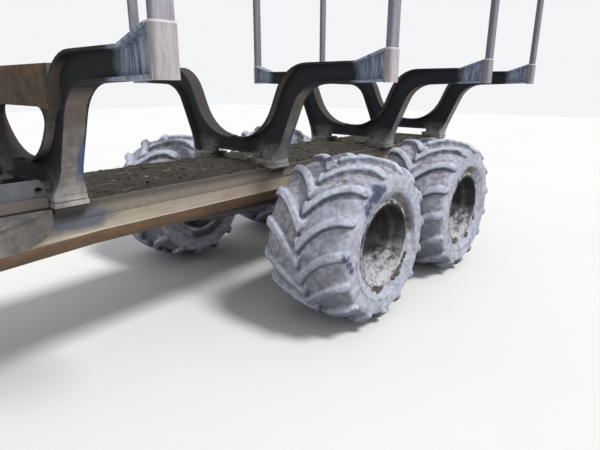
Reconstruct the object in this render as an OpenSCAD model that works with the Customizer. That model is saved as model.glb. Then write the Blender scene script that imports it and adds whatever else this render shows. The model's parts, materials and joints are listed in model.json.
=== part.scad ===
// Rear load carriage of a forestry forwarder: a welded box frame with four log bunks
// and their stakes, carried on two pivoting bogies, and coupled to the tractor end by a
// yoke with a roll bearing. Millimetres. +X is forward, +Y left, +Z up, and the origin
// is the middle of the steering pivot's bore. Heights named _h are above the ground,
// those named _up are above the frame's deck.

/* [Placement] */
// Steering pivot ahead of the bogie axle
bogie_to_pivot = 3900; // [3860:10:4100]
// Height of the steering pivot
pivot_h = 820; // [810:5:840]
// Height of the bogie pivot above the wheel centres
bogie_rise = 25; // [15:1:35]

/* [Wheels] */
// Tyre diameter over the lugs
tyre_d = 1190; // [1170:5:1200]
// Tyre width
tyre_w = 703; // [680:1:720]
// Distance from the machine's middle to the middle of a wheel
wheel_y = 1012; // [1005:1:1040]
// Distance between the two wheels of a bogie
bogie_base = 1350; // [1300:10:1420]
// Radius of the widest place of the tyre
tyre_bulge_r = 445; // [430:1:460]
// Thickness of the tyre's side
tyre_side_t = 26; // [18:1:34]
// Thickness of the tyre under its tread, lugs included
tyre_tread_t = 74; // [66:1:90]
// Number of lugs on each half of the tread
lug_n = 15; // [13:1:17]
// Height of the lugs
lug_h = 45; // [36:1:50]
// Half the angle that a lug's top covers round the tyre
lug_half = 3.9; // [3:0.1:4.5]
// Angle that a lug sweeps back on its way to the shoulder
lug_sweep = 24.3; // [20:0.1:28]
// Angle at which the first lug of the left front wheel stands
lug_first = 6; // [0:1:23]
// Angle by which each next wheel stands turned against the one before
lug_step = 21.2; // [0:0.1:24]
// Radius of the rim's bead seat
bead_r = 286; // [280:0.5:290]
// Height of the rim's edge over the bead seat
rim_edge = 18; // [12:1:22]
// Distance between the rim's two edges
rim_w = 600; // [580:2:606]
// Rim sheet thickness
rim_t = 11; // [8:1:14]
// Depth of the rim's well below the bead seat
rim_well = 24; // [14:1:34]
// Distance from the tyre's middle in to the wheel disc's outer face
disc_in = 40; // [10:1:80]
// Wheel disc thickness
disc_t = 16; // [12:1:22]
// Radius of the hub's spigot in the wheel disc
spigot_r = 140; // [125:1:146]
// Radius of the wheel stud circle
stud_circle_r = 167.5; // [162:0.5:172]
// Wheel stud radius
stud_r = 11; // [9:0.5:12]
// Number of wheel studs
stud_n = 10; // [8:1:12]

/* [Bogies] */
// Inner face of the bogie case from the machine's middle
case_y = 486; // [484:1:500]
// Width of the bogie case
case_w = 158; // [140:1:158]
// Radius of the case round a wheel
case_end_r = 172; // [160:1:185]
// Radius of the case round its pivot
case_mid_r = 196; // [186:1:210]
// Radius of the final drive inside the rim
drive_r = 150; // [140:1:160]
// Radius of the trunnion that the case turns on
trunnion_r = 88; // [78:1:92]
// Width of the hub between final drive and disc
hub_w = 92; // [70:1:120]
// Radius of the hub's flange
hub_r = 195; // [190:1:200]

/* [Axle] */
// Radius of the axle tube
axle_r = 96; // [93:1:104]
// Radius of the differential housing
diff_r = 138; // [124:1:142]
// Width of the differential housing
diff_w = 300; // [240:5:360]
// Radius of the drive shaft's tube
shaft_r = 42; // [34:1:50]
// Front end of the drive shaft ahead of the axle
shaft_front_x = 3480; // [3440:10:3500]
// Length of the drive shaft's sliding joint
shaft_joint_l = 80; // [60:1:120]
// Distance of the shaft's bearing behind its front end
bearing_back = 380; // [300:5:420]
// Thickness of the shaft's bearing
bearing_t = 70; // [50:1:90]
// Length of the axle saddles
saddle_l = 260; // [200:5:320]
// Distance of the axle saddles from the middle
saddle_y = 250; // [230:1:262]
// Thickness of one axle saddle
saddle_t = 60; // [40:1:70]

/* [Frame] */
// Width of the frame beam
beam_w = 840; // [820:2:850]
// Clearance between the differential housing and the beam over it
beam_clear = 12; // [8:1:24]
// Depth of the frame beam
beam_depth = 280; // [270:1:290]
// Wall of the box beam
beam_wall = 12; // [8:1:16]
// Width of the slot that lets the joint shaft rise through the beam's bottom
shaft_slot_w = 130; // [110:5:160]
// Bevel along the beam's lower edges
bevel = 104; // [80:1:120]
// Height of the cap that stands proud on the beam's side
cap_depth = 84; // [70:1:130]
// How far the cap stands proud
cap_proud = 5; // [3:0.5:8]
// Rear end of the beam behind the axle
beam_rear_x = 2150; // [2120:5:2300]
// Front end of the beam ahead of the axle
beam_front_x = 3560; // [3540:5:3580]
// Where the beam starts to deepen, ahead of the axle
nose_x = 2200; // [2000:10:2400]
// How much the beam is deeper at its front
nose_drop = 60; // [40:1:80]
// Thickness of the head plate at the beam's front
head_t = 40; // [30:1:44]
// Radius of the roll bearing
ring_r = 300; // [280:1:310]
// Length of the roll bearing
ring_l = 70; // [60:1:90]
// Radius of the opening through the roll bearing
ring_bore_r = 150; // [130:1:170]
// Wall of the bearing's inner race
race_wall = 55; // [40:1:70]

/* [Yoke] */
// Radius of the steering pivot's bore
pivot_bore_r = 45; // [40:0.5:50]
// Length of the steering pivot's boss
pivot_boss_l = 360; // [320:5:420]
// Radius of the steering pivot's boss
pivot_boss_r = 88; // [80:1:96]
// Thickness of the yoke's flange
yoke_flange_t = 36; // [28:1:44]
// Gap between the two lugs of the steering pivot
lug_gap = 190; // [170:2:210]
// Steering eyes ahead of the yoke's flange
eye_reach = 70; // [60:2:90]
// How far the rib over and under a steering eye stands out
eye_rib = 40; // [20:2:60]
// Radius of a steering cylinder eye's bore
eye_bore_r = 25; // [20:0.5:30]
// Distance of the steering eyes from the middle
eye_y = 250; // [235:1:262]
// Thickness of a steering eye
eye_t = 50; // [40:1:60]

/* [Plates] */
// Rear end of the side doublers ahead of bunk 1
doubler_ahead = 90; // [86:1:100]
// Doubler plate thickness
doubler_t = 14; // [10:1:20]
// How far the brow plate stands proud of the doubler
brow_proud = 12; // [6:1:20]
// Height of the deck rails
rail_depth = 147; // [110:1:160]
// Deck rail thickness
rail_t = 16; // [12:1:24]
// Hole in the deck rail
rail_hole_r = 19; // [12:1:24]
// Height of the strip along the foot of the deck rail
strip_depth = 50; // [36:1:60]
// How far the strip stands proud of the rail
strip_proud = 16; // [8:1:20]

/* [Bunks] */
// Place of bunk 1 ahead of the axle
bunk_1_x = 2362; // [2320:1:2390]
// Place of bunk 2 ahead of the axle
bunk_2_x = 798; // [760:1:840]
// Place of bunk 3 ahead of the axle
bunk_3_x = -798; // [-840:1:-760]
// Place of bunk 4 ahead of the axle
bunk_4_x = -2047; // [-2050:1:-1900]
// Width over the stakes
stake_span = 2790; // [2720:2:2840]
// Lean of the bunk's legs from upright
leg_lean = 24; // [20:0.5:28]
// Outer edge of a leg at its foot
leg_foot_y = 461; // [455:1:472]
// Width of a leg, measured level
leg_w = 206; // [190:1:250]
// Underside of the arms at their bend, above the deck
arm_low_up = 600; // [580:1:640]
// Rise of the arm's underside from the bend to the socket
arm_rise = 14; // [0:1:30]
// Top of the arms above the deck
arm_top_up = 738; // [725:1:765]
// Top of the bunk's low middle above the deck
middle_up = 200; // [180:1:230]
// Radius under the arm
under_bend_r = 240; // [160:5:280]
// Radius on top of the arm
top_bend_r = 300; // [240:5:340]
// Radius into the low middle
middle_bend_r = 395; // [250:5:420]
// Web plate thickness
web_t = 20; // [12:1:30]
// Flange width
flange_w = 110; // [100:1:120]
// Width of the outer flange where it flares to the foot
flare_w = 166; // [120:1:167]
// Height of the flare, along the leg
flare_l = 165; // [100:5:220]
// Flange thickness
flange_t = 14; // [10:1:20]
// Width of the foot plates along the frame
foot_l = 175; // [168:1:190]
// Thickness of one foot plate
foot_t = 25; // [20:1:30]
// Outer end of the foot plates from the middle
foot_y = 471; // [468:1:476]
// Underside of bunk 1's crossbeam above the deck
cross_low_up = 490; // [460:1:510]
// Top of bunk 1's crossbeam above the deck
cross_top_up = 688; // [650:1:710]
// Width of the crossbeam along the frame
cross_w = 112; // [90:1:118]
// Radius of the window's upper corners under the crossbeam
window_r = 60; // [40:1:80]

/* [Stakes] */
// Socket width along the frame
socket_l = 110; // [104:1:120]
// Socket depth across the frame
socket_w = 58; // [54:1:70]
// Socket height
socket_h = 195; // [170:1:220]
// Socket wall
socket_wall = 5.5; // [5:0.5:7]
// Radius of the socket's upright edges
socket_round = 26; // [20:1:26]
// How far the socket's gussets stand out at its foot
socket_flare = 4; // [3:1:12]
// Gap between stake and socket
stake_gap = 0.5; // [0.3:0.1:1]
// Tops of the stakes above the deck
stake_up = 1800; // [1650:10:1950]
// How much the gusset climbs at the stake
gusset_rise = 64; // [40:1:66]
// Length of the gusset along the arm
gusset_l = 190; // [150:5:220]

/* [Gate] */
// Gate ahead of the axle
gate_x = 3010; // [2980:5:3030]
// Gate width
gate_w = 2440; // [2300:10:2560]
// Gate's lower rail above the deck
gate_low_up = 650; // [600:5:710]
// Width of the gate's square tube
gate_tube = 90; // [80:1:100]
// Distance of the gate's feet in from the beam's side
gate_foot_in = 90; // [60:1:120]
// Number of bars in the gate
gate_bar_n = 13; // [9:1:17]
// Size of a gate bar
gate_bar = 30; // [24:1:36]
// Crane pedestal ahead of the axle
pedestal_x = 3290; // [3280:5:3300]
// Height of the crane pedestal above the deck
pedestal_rise = 420; // [360:5:480]
// Radius of the pedestal's column
pedestal_r = 180; // [165:1:190]
// Radius of the pedestal's flange
pedestal_flange_r = 250; // [240:1:256]
// Thickness of the pedestal's flange
pedestal_flange_t = 34; // [28:1:40]
// Bolt circle radius of the crane
crane_circle_r = 218; // [212:1:222]
// Bolt hole radius of the crane
crane_hole_r = 13; // [10:0.5:15]
// Number of crane bolts
crane_bolt_n = 12; // [10:1:16]

/* [Rear end] */
// Rear plate thickness
rear_plate_t = 20; // [14:1:28]
// How far the towing eye stands out
hitch_l = 72; // [60:2:90]
// Width of the towing eye
hitch_w = 120; // [90:2:140]
// Height of the towing eye
hitch_t = 90; // [70:2:100]
// Radius of the towing eye's bore
hitch_bore_r = 20; // [16:0.5:24]
// Rear lamp radius
lamp_r = 55; // [45:1:65]
// Lamp distance from the middle
lamp_y = 330; // [300:1:340]

/* [Hidden] */
$fn = 64;

// Clearance between faces that turn on each other
run_gap = 0.3;
hub_h = tyre_d / 2;
axle_h = hub_h + bogie_rise;
beam_bottom_h = axle_h + diff_r + beam_clear;
deck_h = beam_bottom_h + beam_depth;
half_base = bogie_base / 2;
bunk_xs = [bunk_1_x, bunk_2_x, bunk_3_x, bunk_4_x];
doubler_x = bunk_1_x + doubler_ahead;
// Length of the supports under the bunks' feet
support_l = foot_l - 20;
foot_top_h = deck_h + 2 * foot_t + 5;
arm_under_h = deck_h + arm_low_up;
arm_top_h = deck_h + arm_top_up;
middle_top_h = deck_h + middle_up;
cross_low_h = deck_h + cross_low_up;
cross_top_h = deck_h + cross_top_up;
stake_top_h = deck_h + stake_up;
gate_low_h = deck_h + gate_low_up;
socket_low_h = arm_under_h + arm_rise - 5;
socket_in_y = stake_span / 2 - socket_w;
disc_out_y = wheel_y - disc_in;
hub_out_y = disc_out_y - disc_t;
drive_out_y = hub_out_y - hub_w;
ring_x = beam_front_x + head_t;
eye_x = ring_x + ring_l + 6 + yoke_flange_t + eye_reach;
beam_end_y = beam_w / 2;
shaft_tilt = atan((pivot_h - axle_h) / ring_x);
slot_x = (beam_bottom_h - axle_h - shaft_r) / tan(shaft_tilt) - 90;
stake_l = socket_l - 2 * (socket_wall + stake_gap);
stake_w = socket_w - 2 * (socket_wall + stake_gap);

// Measures taken from the axle and the ground become measures from the steering pivot
module on_ground() translate([-bogie_to_pivot, 0, -pivot_h]) children();

module at_wheel(end) translate([end * half_base, 0, hub_h]) children();

// A rod or bore along Y from one distance to another
module rod_y(r, y0, y1) translate([0, y0, 0]) rotate([-90, 0, 0]) cylinder(r = r, h = y1 - y0);

module rod_x(r, x0, x1) translate([x0, 0, 0]) rotate([0, 90, 0]) cylinder(r = r, h = x1 - x0);

// A plate drawn in side view, X across and Z up, with its thickness along Y
module side_plate(y0, t) translate([0, y0 + t, 0]) rotate([90, 0, 0]) linear_extrude(t) children();

// A plate drawn in end view, Y across and Z up, with its thickness along X
module end_plate(x0, t) translate([x0, 0, 0]) rotate([90, 0, 90]) linear_extrude(t) children();

module both_sides() {
    children();
    mirror([0, 1, 0]) children();
}

function arc(c, r, a0, a1, n) = [
    for (i = [0:n])
        c + r * [cos(a0 + (a1 - a0) * i / n), sin(a0 + (a1 - a0) * i / n)]];

// The tyre's outer side from the crown out and down to the bead: across, then radius
function swell(v, n) = pow(abs(v), 2 / n) * sign(v);
function tyre_side(w, r_top, n, steps, lowest) = [
    for (i = [0:steps])
        let (a = 90 - i * (90 + lowest) / steps)
        [w / 2 * swell(cos(a), n),
         tyre_bulge_r + (a >= 0 ? (r_top - tyre_bulge_r) * swell(sin(a), n) : 260 * swell(sin(a), n))]];

module tyre_section() {
    half = tyre_side(tyre_w, tyre_d / 2 - lug_h, 2.5, 14, 40);
    edge_r = bead_r + rim_edge + run_gap;
    bead_y = rim_w / 2 - run_gap;
    side = [for (p = half) if (p[1] > edge_r + 4) p];
    outline = concat(side, [[bead_y, edge_r], [bead_y, bead_r + run_gap]]);
    inner = tyre_side(tyre_w - 2 * tyre_side_t, tyre_d / 2 - tyre_tread_t, 2.5, 10, 30);
    cavity = concat([for (p = inner) if (p[1] > edge_r + 20) p],
        [[bead_y - 2 * tyre_side_t, bead_r - 5]]);
    difference() {
        polygon(both_halves(outline));
        polygon(both_halves(cavity));
    }
}

// A half outline, across then radius, and its mirror image, as radius then across
function both_halves(half) = concat([for (p = half) [p[1], p[0]]],
    [for (i = [len(half) - 1:-1:1]) [half[i][1], -half[i][0]]]);

// Radius of the tread at a place across the tyre, and the angle a lug has swept there
function crown(w, top) =
    tyre_bulge_r + (top - tyre_bulge_r) * pow(1 - pow(abs(w) / (tyre_w / 2), 2.5), 0.4);
function swept(w) = w < 0 ? 0.13 * w : lug_sweep * (1 - pow(1 - w / (1.024 * tyre_w / 2), 2));

// Rows of a lug from the tyre's middle out over its shoulder
LUG_ROWS = [[-0.05, 0.6], [0.02, 1.1], [0.17, 0.9], [0.5, 0.8], [0.76, 0.84], [0.97, 0.94]];
// Columns: place across the tyre as a share of its half width
ACROSS = 0;
// and share of the lug's full width
SHARE = 1;

module lug() {
    sink = 10;
    corners = [for (row = LUG_ROWS)
        let (w = row[ACROSS] * tyre_w / 2,
             a = lug_half * row[SHARE],
             s = swept(w),
             low = crown(w, tyre_d / 2 - lug_h) - sink,
             top = crown(w, tyre_d / 2) - 1)
        each [[low * cos(s - a - 0.6), w, low * sin(s - a - 0.6)],
              [top * cos(s - a + 0.3), w, top * sin(s - a + 0.3)],
              [top * cos(s + a - 0.3), w, top * sin(s + a - 0.3)],
              [low * cos(s + a + 0.6), w, low * sin(s + a + 0.6)]]];
    n = len(LUG_ROWS);
    sides = [for (i = [0:n - 2], k = [0:3])
        [4 * i + k, 4 * (i + 1) + k, 4 * (i + 1) + (k + 1) % 4, 4 * i + (k + 1) % 4]];
    faces = concat([[0, 1, 2, 3]], [[4 * n - 1, 4 * n - 2, 4 * n - 3, 4 * n - 4]], sides);
    polyhedron(corners, [for (f = faces) [f[3], f[2], f[1], f[0]]]);
}

// A casing turned as one, with two rows of lugs fused on, half a pitch apart
module tyre(wheel) {
    turn = lug_first + wheel * lug_step;
    color([0.42, 0.42, 0.45]) translate([0, wheel_y, 0]) rotate([0, -turn, 0]) {
        rotate([-90, 0, 0]) rotate_extrude($fn = 96) tyre_section();
        for (i = [0:lug_n - 1]) {
            rotate([0, -i * 360 / lug_n, 0]) lug();
            rotate([0, -(i + 0.5) * 360 / lug_n, 0]) mirror([0, 1, 0]) lug();
        }
    }
}

module rim_section() {
    w = rim_w / 2;
    top = bead_r;
    well = bead_r - rim_well;
    outer = [[w, top + rim_edge], [w, top], [w - 70, top], [w - 110, well], [-w + 110, well],
        [-w + 70, top], [-w, top], [-w, top + rim_edge]];
    inner = [[-w - rim_t, top + rim_edge], [-w - rim_t, top - rim_t], [-w + 75, top - rim_t],
        [-w + 115, well - rim_t], [w - 115, well - rim_t], [w - 75, top - rim_t],
        [w + rim_t, top - rim_t], [w + rim_t, top + rim_edge]];
    polygon([for (p = concat(outer, inner)) [p[1], p[0]]]);
}

module rim() {
    color([0.36, 0.32, 0.3]) difference() {
        union() {
            translate([0, wheel_y, 0]) rotate([-90, 0, 0]) rotate_extrude($fn = 96) rim_section();
            rod_y(bead_r - rim_well - rim_t / 2, hub_out_y, disc_out_y);
        }
        rod_y(spigot_r + run_gap, hub_out_y - 1, disc_out_y + 1);
        for (i = [0:stud_n - 1])
            rotate([0, i * 360 / stud_n, 0]) translate([stud_circle_r, 0, 0])
                rod_y(stud_r + run_gap, hub_out_y - 1, disc_out_y + 1);
    }
}

module hub() {
    color([0.3, 0.3, 0.32]) {
        rod_y(drive_r - 12, drive_out_y + run_gap, hub_out_y - 24);
        rod_y(hub_r, hub_out_y - 26, hub_out_y);
        rod_y(spigot_r, hub_out_y - 1, disc_out_y + 40);
        rod_y(spigot_r - 40, disc_out_y + 39, disc_out_y + 70);
        for (i = [0:stud_n - 1])
            rotate([0, i * 360 / stud_n, 0]) translate([stud_circle_r, 0, 0])
                rod_y(stud_r, hub_out_y - 10, disc_out_y + 30);
    }
}

// The gear case in side view: round at both wheels and deeper round the pivot
module case_outline(grow) {
    for (end = [-1, 1]) translate([end * half_base, 0]) circle(r = case_end_r + grow);
    translate([0, bogie_rise]) circle(r = case_mid_r + grow);
    for (s = [-1, 1])
        polygon([[-half_base, s * (case_end_r + grow)], [0, bogie_rise + s * (case_mid_r + grow)],
            [half_base, s * (case_end_r + grow)], [half_base, 0], [-half_base, 0]]);
}

module bogie_case() {
    color([0.33, 0.33, 0.36]) translate([0, 0, hub_h]) difference() {
        union() {
            side_plate(case_y, case_w) case_outline(-14);
            side_plate(case_y + 18, 24) case_outline(0);
            side_plate(case_y + case_w - 42, 24) case_outline(0);
            for (end = [-1, 1]) translate([end * half_base, 0, 0]) {
                rod_y(drive_r, case_y + case_w - 2, drive_out_y);
                rod_y(drive_r + 22, case_y + case_w - 2, case_y + case_w + 60);
            }
        }
        translate([0, 0, bogie_rise]) rod_y(trunnion_r + run_gap, case_y - 1, case_y + case_w - 30);
    }
}

// What lies along the drive shaft, which climbs from the axle to the roll bearing
module along_shaft() translate([0, 0, axle_h]) rotate([0, -shaft_tilt, 0]) children();

module axle_housing() {
    color([0.3, 0.3, 0.33]) {
        translate([0, 0, axle_h]) {
            rod_y(axle_r, -case_y + 20, case_y - 20);
            rod_y(diff_r, -diff_w / 2, diff_w / 2);
            both_sides() {
                rod_y(axle_r + 24, case_y - 46, case_y - 6);
                rod_y(trunnion_r, case_y - 20, case_y + case_w - 32);
            }
        }
        along_shaft() {
            rod_x(diff_r - 26, 0, diff_r + 60);
            rod_x(shaft_r + 30, diff_r + 58, diff_r + 110);
        }
    }
}

module axle_saddles() {
    color([0.3, 0.3, 0.33]) both_sides()
        side_plate(saddle_y - saddle_t / 2, saddle_t) difference() {
            translate([-saddle_l / 2, axle_h - axle_r / 2])
                square([saddle_l, beam_bottom_h - axle_h + axle_r / 2]);
            translate([0, axle_h]) circle(r = axle_r);
        }
}

module drive_shaft() {
    rear = diff_r + 110;
    color([0.28, 0.28, 0.3]) along_shaft() {
        rod_x(shaft_r, rear + 15, shaft_front_x);
        rod_x(shaft_r + 26, rear, rear + 20);
        rod_x(shaft_r + 12, rear + 19, rear + 19 + shaft_joint_l);
        rod_x(shaft_r + 26, shaft_front_x - 2, shaft_front_x + 20);
    }
}

// Bearing that carries the shaft's front end, standing in the beam on its bottom
module shaft_bearing() {
    x0 = shaft_front_x - bearing_back;
    x1 = x0 + bearing_t;
    half = shaft_slot_w / 2 + 40;
    top_h = axle_h + x1 * tan(shaft_tilt) + shaft_r + 34;
    color([0.3, 0.3, 0.33]) difference() {
        side_plate(-half, 2 * half)
            polygon([[x0, nose_bottom(x0) + beam_wall], [x1, nose_bottom(x1) + beam_wall],
                [x1, top_h], [x0, top_h]]);
        along_shaft() rod_x(shaft_r + run_gap, x0 - 60, x1 + 60);
    }
}

function nose_bottom(x) = beam_bottom_h - nose_drop * max(0, x - nose_x) / (beam_front_x - nose_x);

// The beam's end view, bevelled along its lower edges
module beam_end_view(w, low) {
    polygon([[-w, deck_h], [-w, low + bevel], [-w + bevel, low], [w - bevel, low],
        [w, low + bevel], [w, deck_h]]);
}

// The beam's body, bevelled below and deeper towards its nose; inset shrinks it by a wall
module beam_body(inset, over) {
    slope = atan(nose_drop / (beam_front_x - nose_x));
    w = beam_end_y - cap_proud - inset;
    low = beam_bottom_h + inset;
    cut = bevel * sqrt(2);
    end_plate(-beam_rear_x - over, beam_rear_x + nose_x + over)
        polygon([[-w, deck_h - inset], [-w, low + bevel], [-w + bevel, low], [w - bevel, low],
            [w, low + bevel], [w, deck_h - inset]]);
    difference() {
        side_plate(-w, 2 * w) polygon([[nose_x - 1, deck_h - inset], [nose_x - 1, low], [nose_x, low],
            [beam_front_x + over, nose_bottom(beam_front_x + over) + inset],
            [beam_front_x + over, deck_h - inset]]);
        for (s = [-1, 1]) translate([nose_x, s * w, low]) rotate([0, slope, 0]) rotate([45, 0, 0])
            cube([3 * (beam_front_x - nose_x), cut, cut], center = true);
    }
}

module frame_beam() {
    w = beam_end_y - cap_proud;
    color([0.62, 0.5, 0.4]) {
        difference() {
            beam_body(0, 0);
            beam_body(beam_wall, 1);
            translate([slot_x, -shaft_slot_w / 2, beam_bottom_h - nose_drop - 1])
                cube([beam_front_x - slot_x + 1, shaft_slot_w, nose_drop + beam_wall + 3]);
        }
        both_sides() side_plate(w - 1, 1 + cap_proud)
            translate([-beam_rear_x, deck_h - cap_depth]) square([beam_rear_x + beam_front_x, cap_depth]);
        for (x = bunk_xs) both_sides()
            end_plate(x - support_l / 2, support_l) polygon([[beam_end_y - 12, deck_h],
                [foot_y - 6, deck_h], [foot_y - 6, deck_h - 10], [beam_end_y - 12, deck_h - 48]]);
    }
}

// The doubler's rear end: along from its start, and up from the bevel's edge
DOUBLER_REAR = [[0, 106], [39, 47], [68, 30], [120, 12], [191, 1]];
// The brow plate's lower edge: along from the doubler's start, and down from the deck
BROW_EDGE = [[25, 3], [82, 30], [167, 47], [241, 61], [498, 111]];
// Columns of both tables: along
ALONG = 0;
// and up or down
LEVEL = 1;

// The heavy plate along the beam's side at its front, with a brow plate over its upper half
module side_doublers() {
    function bevel_edge(x) = nose_bottom(x) + bevel;
    hole_x = doubler_x + 49;
    color([0.45, 0.42, 0.42]) both_sides() {
        side_plate(beam_end_y, doubler_t) difference() {
            polygon(concat([[doubler_x, deck_h - 8]],
                [for (p = DOUBLER_REAR)
                    let (x = doubler_x + p[ALONG])
                    [x, bevel_edge(x) + p[LEVEL]]],
                [[beam_front_x, bevel_edge(beam_front_x) + 1], [beam_front_x, deck_h - 8]]));
            translate([hole_x, bevel_edge(hole_x) + 51]) circle(r = 9);
        }
        side_plate(beam_end_y, doubler_t + brow_proud)
            polygon(concat([for (p = BROW_EDGE) [doubler_x + p[ALONG], deck_h - p[LEVEL]]],
                [[beam_front_x, deck_h - 160], [beam_front_x, deck_h - 2]]));
    }
}

// Upright plates on the deck ahead of bunk 1, each with a proud strip along its foot
module deck_rails() {
    rail_y = beam_end_y - rail_t;
    start = bunk_1_x + foot_l / 2 + 16;
    front = gate_x - gate_tube / 2 - 2;
    color([0.4, 0.4, 0.43]) both_sides() {
        side_plate(rail_y, rail_t) difference() {
            polygon([[start, deck_h], [start, deck_h + rail_depth - 30], [start + 20, deck_h + rail_depth],
                [front - 18, deck_h + rail_depth], [front, deck_h]]);
            translate([start + 28, deck_h + rail_depth - 52]) circle(r = rail_hole_r);
        }
        side_plate(beam_end_y - 1, strip_proud + 1)
            translate([start, deck_h + 10]) square([front - start - 10, strip_depth]);
    }
}

module head_plate() {
    color([0.4, 0.38, 0.38]) end_plate(beam_front_x, head_t) difference() {
        union() {
            translate([0, pivot_h]) circle(r = ring_r + 14);
            beam_end_view(beam_end_y, beam_bottom_h - nose_drop);
        }
        translate([0, pivot_h]) circle(r = ring_bore_r);
    }
}

module roll_ring() {
    color([0.33, 0.33, 0.35]) translate([0, 0, pivot_h]) difference() {
        rod_x(ring_r, ring_x, ring_x + ring_l);
        rod_x(ring_bore_r + race_wall + run_gap, ring_x - 1, ring_x + ring_l + 1);
    }
}

module roll_race() {
    color([0.5, 0.5, 0.53]) translate([0, 0, pivot_h]) difference() {
        rod_x(ring_bore_r + race_wall, ring_x + run_gap, ring_x + ring_l + 6);
        rod_x(ring_bore_r, ring_x - 1, ring_x + ring_l + 7);
    }
}

// Casting that turns in the roll bearing and carries the steering pivot in two lugs
module pivot_yoke() {
    flange_x = ring_x + ring_l + 6;
    cheek_x = flange_x + yoke_flange_t;
    lug_h = (pivot_boss_l - lug_gap) / 2;
    color([0.42, 0.4, 0.38]) difference() {
        union() {
            translate([0, 0, pivot_h]) rod_x(ring_r - 20, flange_x, cheek_x);
            for (s = [-1, 1]) translate([0, 0, pivot_h + s * (lug_gap + lug_h) / 2 - lug_h / 2]) {
                translate([bogie_to_pivot, 0, 0]) cylinder(r = pivot_boss_r, h = lug_h);
                translate([cheek_x - 2, -pivot_boss_r, 0])
                    cube([bogie_to_pivot - cheek_x + 2, 2 * pivot_boss_r, lug_h]);
            }
            both_sides() translate([0, 0, pivot_h - eye_t / 2]) {
                translate([eye_x, eye_y, 0]) cylinder(r = eye_bore_r + 28, h = eye_t);
                translate([cheek_x - 2, eye_y - eye_bore_r - 28, 0])
                    cube([eye_x - cheek_x + 2, 2 * eye_bore_r + 56, eye_t]);
                translate([cheek_x - 2, eye_y - eye_bore_r - 28, -eye_rib])
                    cube([30, 2 * eye_bore_r + 30, eye_t + 2 * eye_rib]);
            }
        }
        translate([bogie_to_pivot, 0, pivot_h - pivot_boss_l / 2 - 1])
            cylinder(r = pivot_bore_r, h = pivot_boss_l + 2);
        translate([0, 0, pivot_h]) rod_x(lug_gap / 2, flange_x - 1, cheek_x + 1);
        both_sides() translate([eye_x, eye_y, pivot_h - eye_t / 2 - 1])
            cylinder(r = eye_bore_r, h = eye_t + 2);
    }
}

// Outer and under edge of a leg and arm, moved in by off, from the foot outwards
function under_edge(off) =
    let (tilt = 90 - leg_lean,
         r = under_bend_r + off,
         start_h = arm_under_h - under_bend_r * (1 - cos(tilt)),
         start_y = leg_foot_y + (start_h - foot_top_h) * tan(leg_lean),
         c = [start_y + under_bend_r * sin(tilt), arm_under_h - under_bend_r])
    concat([[leg_foot_y - off / cos(leg_lean), foot_top_h]], arc(c, r, 180 - leg_lean, 90, 8),
        [[socket_in_y + 4, arm_under_h + arm_rise + off]]);

// Inner and top edge from the bunk's middle outwards, moved in by off
function top_edge(off) =
    let (tilt = 90 - leg_lean,
         low_end_h = middle_top_h + middle_bend_r * (1 - cos(tilt)),
         low_end_y = leg_foot_y - leg_w + (low_end_h - foot_top_h) * tan(leg_lean),
         low_c = [low_end_y - middle_bend_r * sin(tilt), middle_top_h + middle_bend_r],
         top_start_h = arm_top_h - top_bend_r * (1 - cos(tilt)),
         top_start_y = leg_foot_y - leg_w + (top_start_h - foot_top_h) * tan(leg_lean),
         top_c = [top_start_y + top_bend_r * sin(tilt), arm_top_h - top_bend_r])
    concat(arc(low_c, middle_bend_r + off, -90, -leg_lean, 8),
        arc(top_c, top_bend_r - off, 180 - leg_lean, 90, 8),
        [[socket_in_y - gusset_l, arm_top_h - off],
         [socket_in_y + 4, arm_top_h + gusset_rise - off]]);

function turned(points) = [for (i = [len(points) - 1:-1:0]) points[i]];
function mirrored(points) = [for (p = turned(points)) [-p[0], p[1]]];

module bunk_web() {
    top = top_edge(0);
    under = under_edge(0);
    foot_in = leg_foot_y - leg_w;
    low = [[foot_in, foot_top_h], [foot_in, foot_top_h + 35]];
    polygon(concat(top, turned(under), low, mirrored(low), mirrored(turned(under)), mirrored(top)));
}

module flange_band(edge, inner) polygon(concat(edge, turned(inner)));

// Outline of a socket or stake in plan, with rounded corners
module rounded(l, w, r) {
    translate([-l / 2 + r, -w]) square([l - 2 * r, w]);
    translate([-l / 2, -w + r]) square([l, w - 2 * r]);
    for (sx = [-1, 1], sy = [0, 1])
        translate([sx * (l / 2 - r), sy == 0 ? -r : -w + r]) circle(r = r, $fn = 32);
}

module foot() {
    foot_in = leg_foot_y - leg_w - 20;
    for (i = [0, 1])
        translate([-foot_l / 2 + i * 4, foot_in, deck_h + i * (foot_t + 5)])
            cube([foot_l - i * 8, foot_y - foot_in - i * 4, foot_t]);
    translate([-foot_l / 2 + 14, foot_in + 12, deck_h + foot_t - 1])
        cube([foot_l - 28, foot_y - foot_in - 24, 7]);
    translate([0, leg_foot_y, foot_top_h]) rotate([-leg_lean, 0, 0]) side_plate(-flange_t - 1, flange_t + 3)
        polygon([[-flare_w / 2, -4], [flare_w / 2, -4], [flare_w / 2, 18],
            [flange_w / 2 + 5, 0.55 * flare_l], [flange_w / 2 - 1, flare_l],
            [-flange_w / 2 + 1, flare_l], [-flange_w / 2 - 5, 0.55 * flare_l], [-flare_w / 2, 18]]);
}

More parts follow.
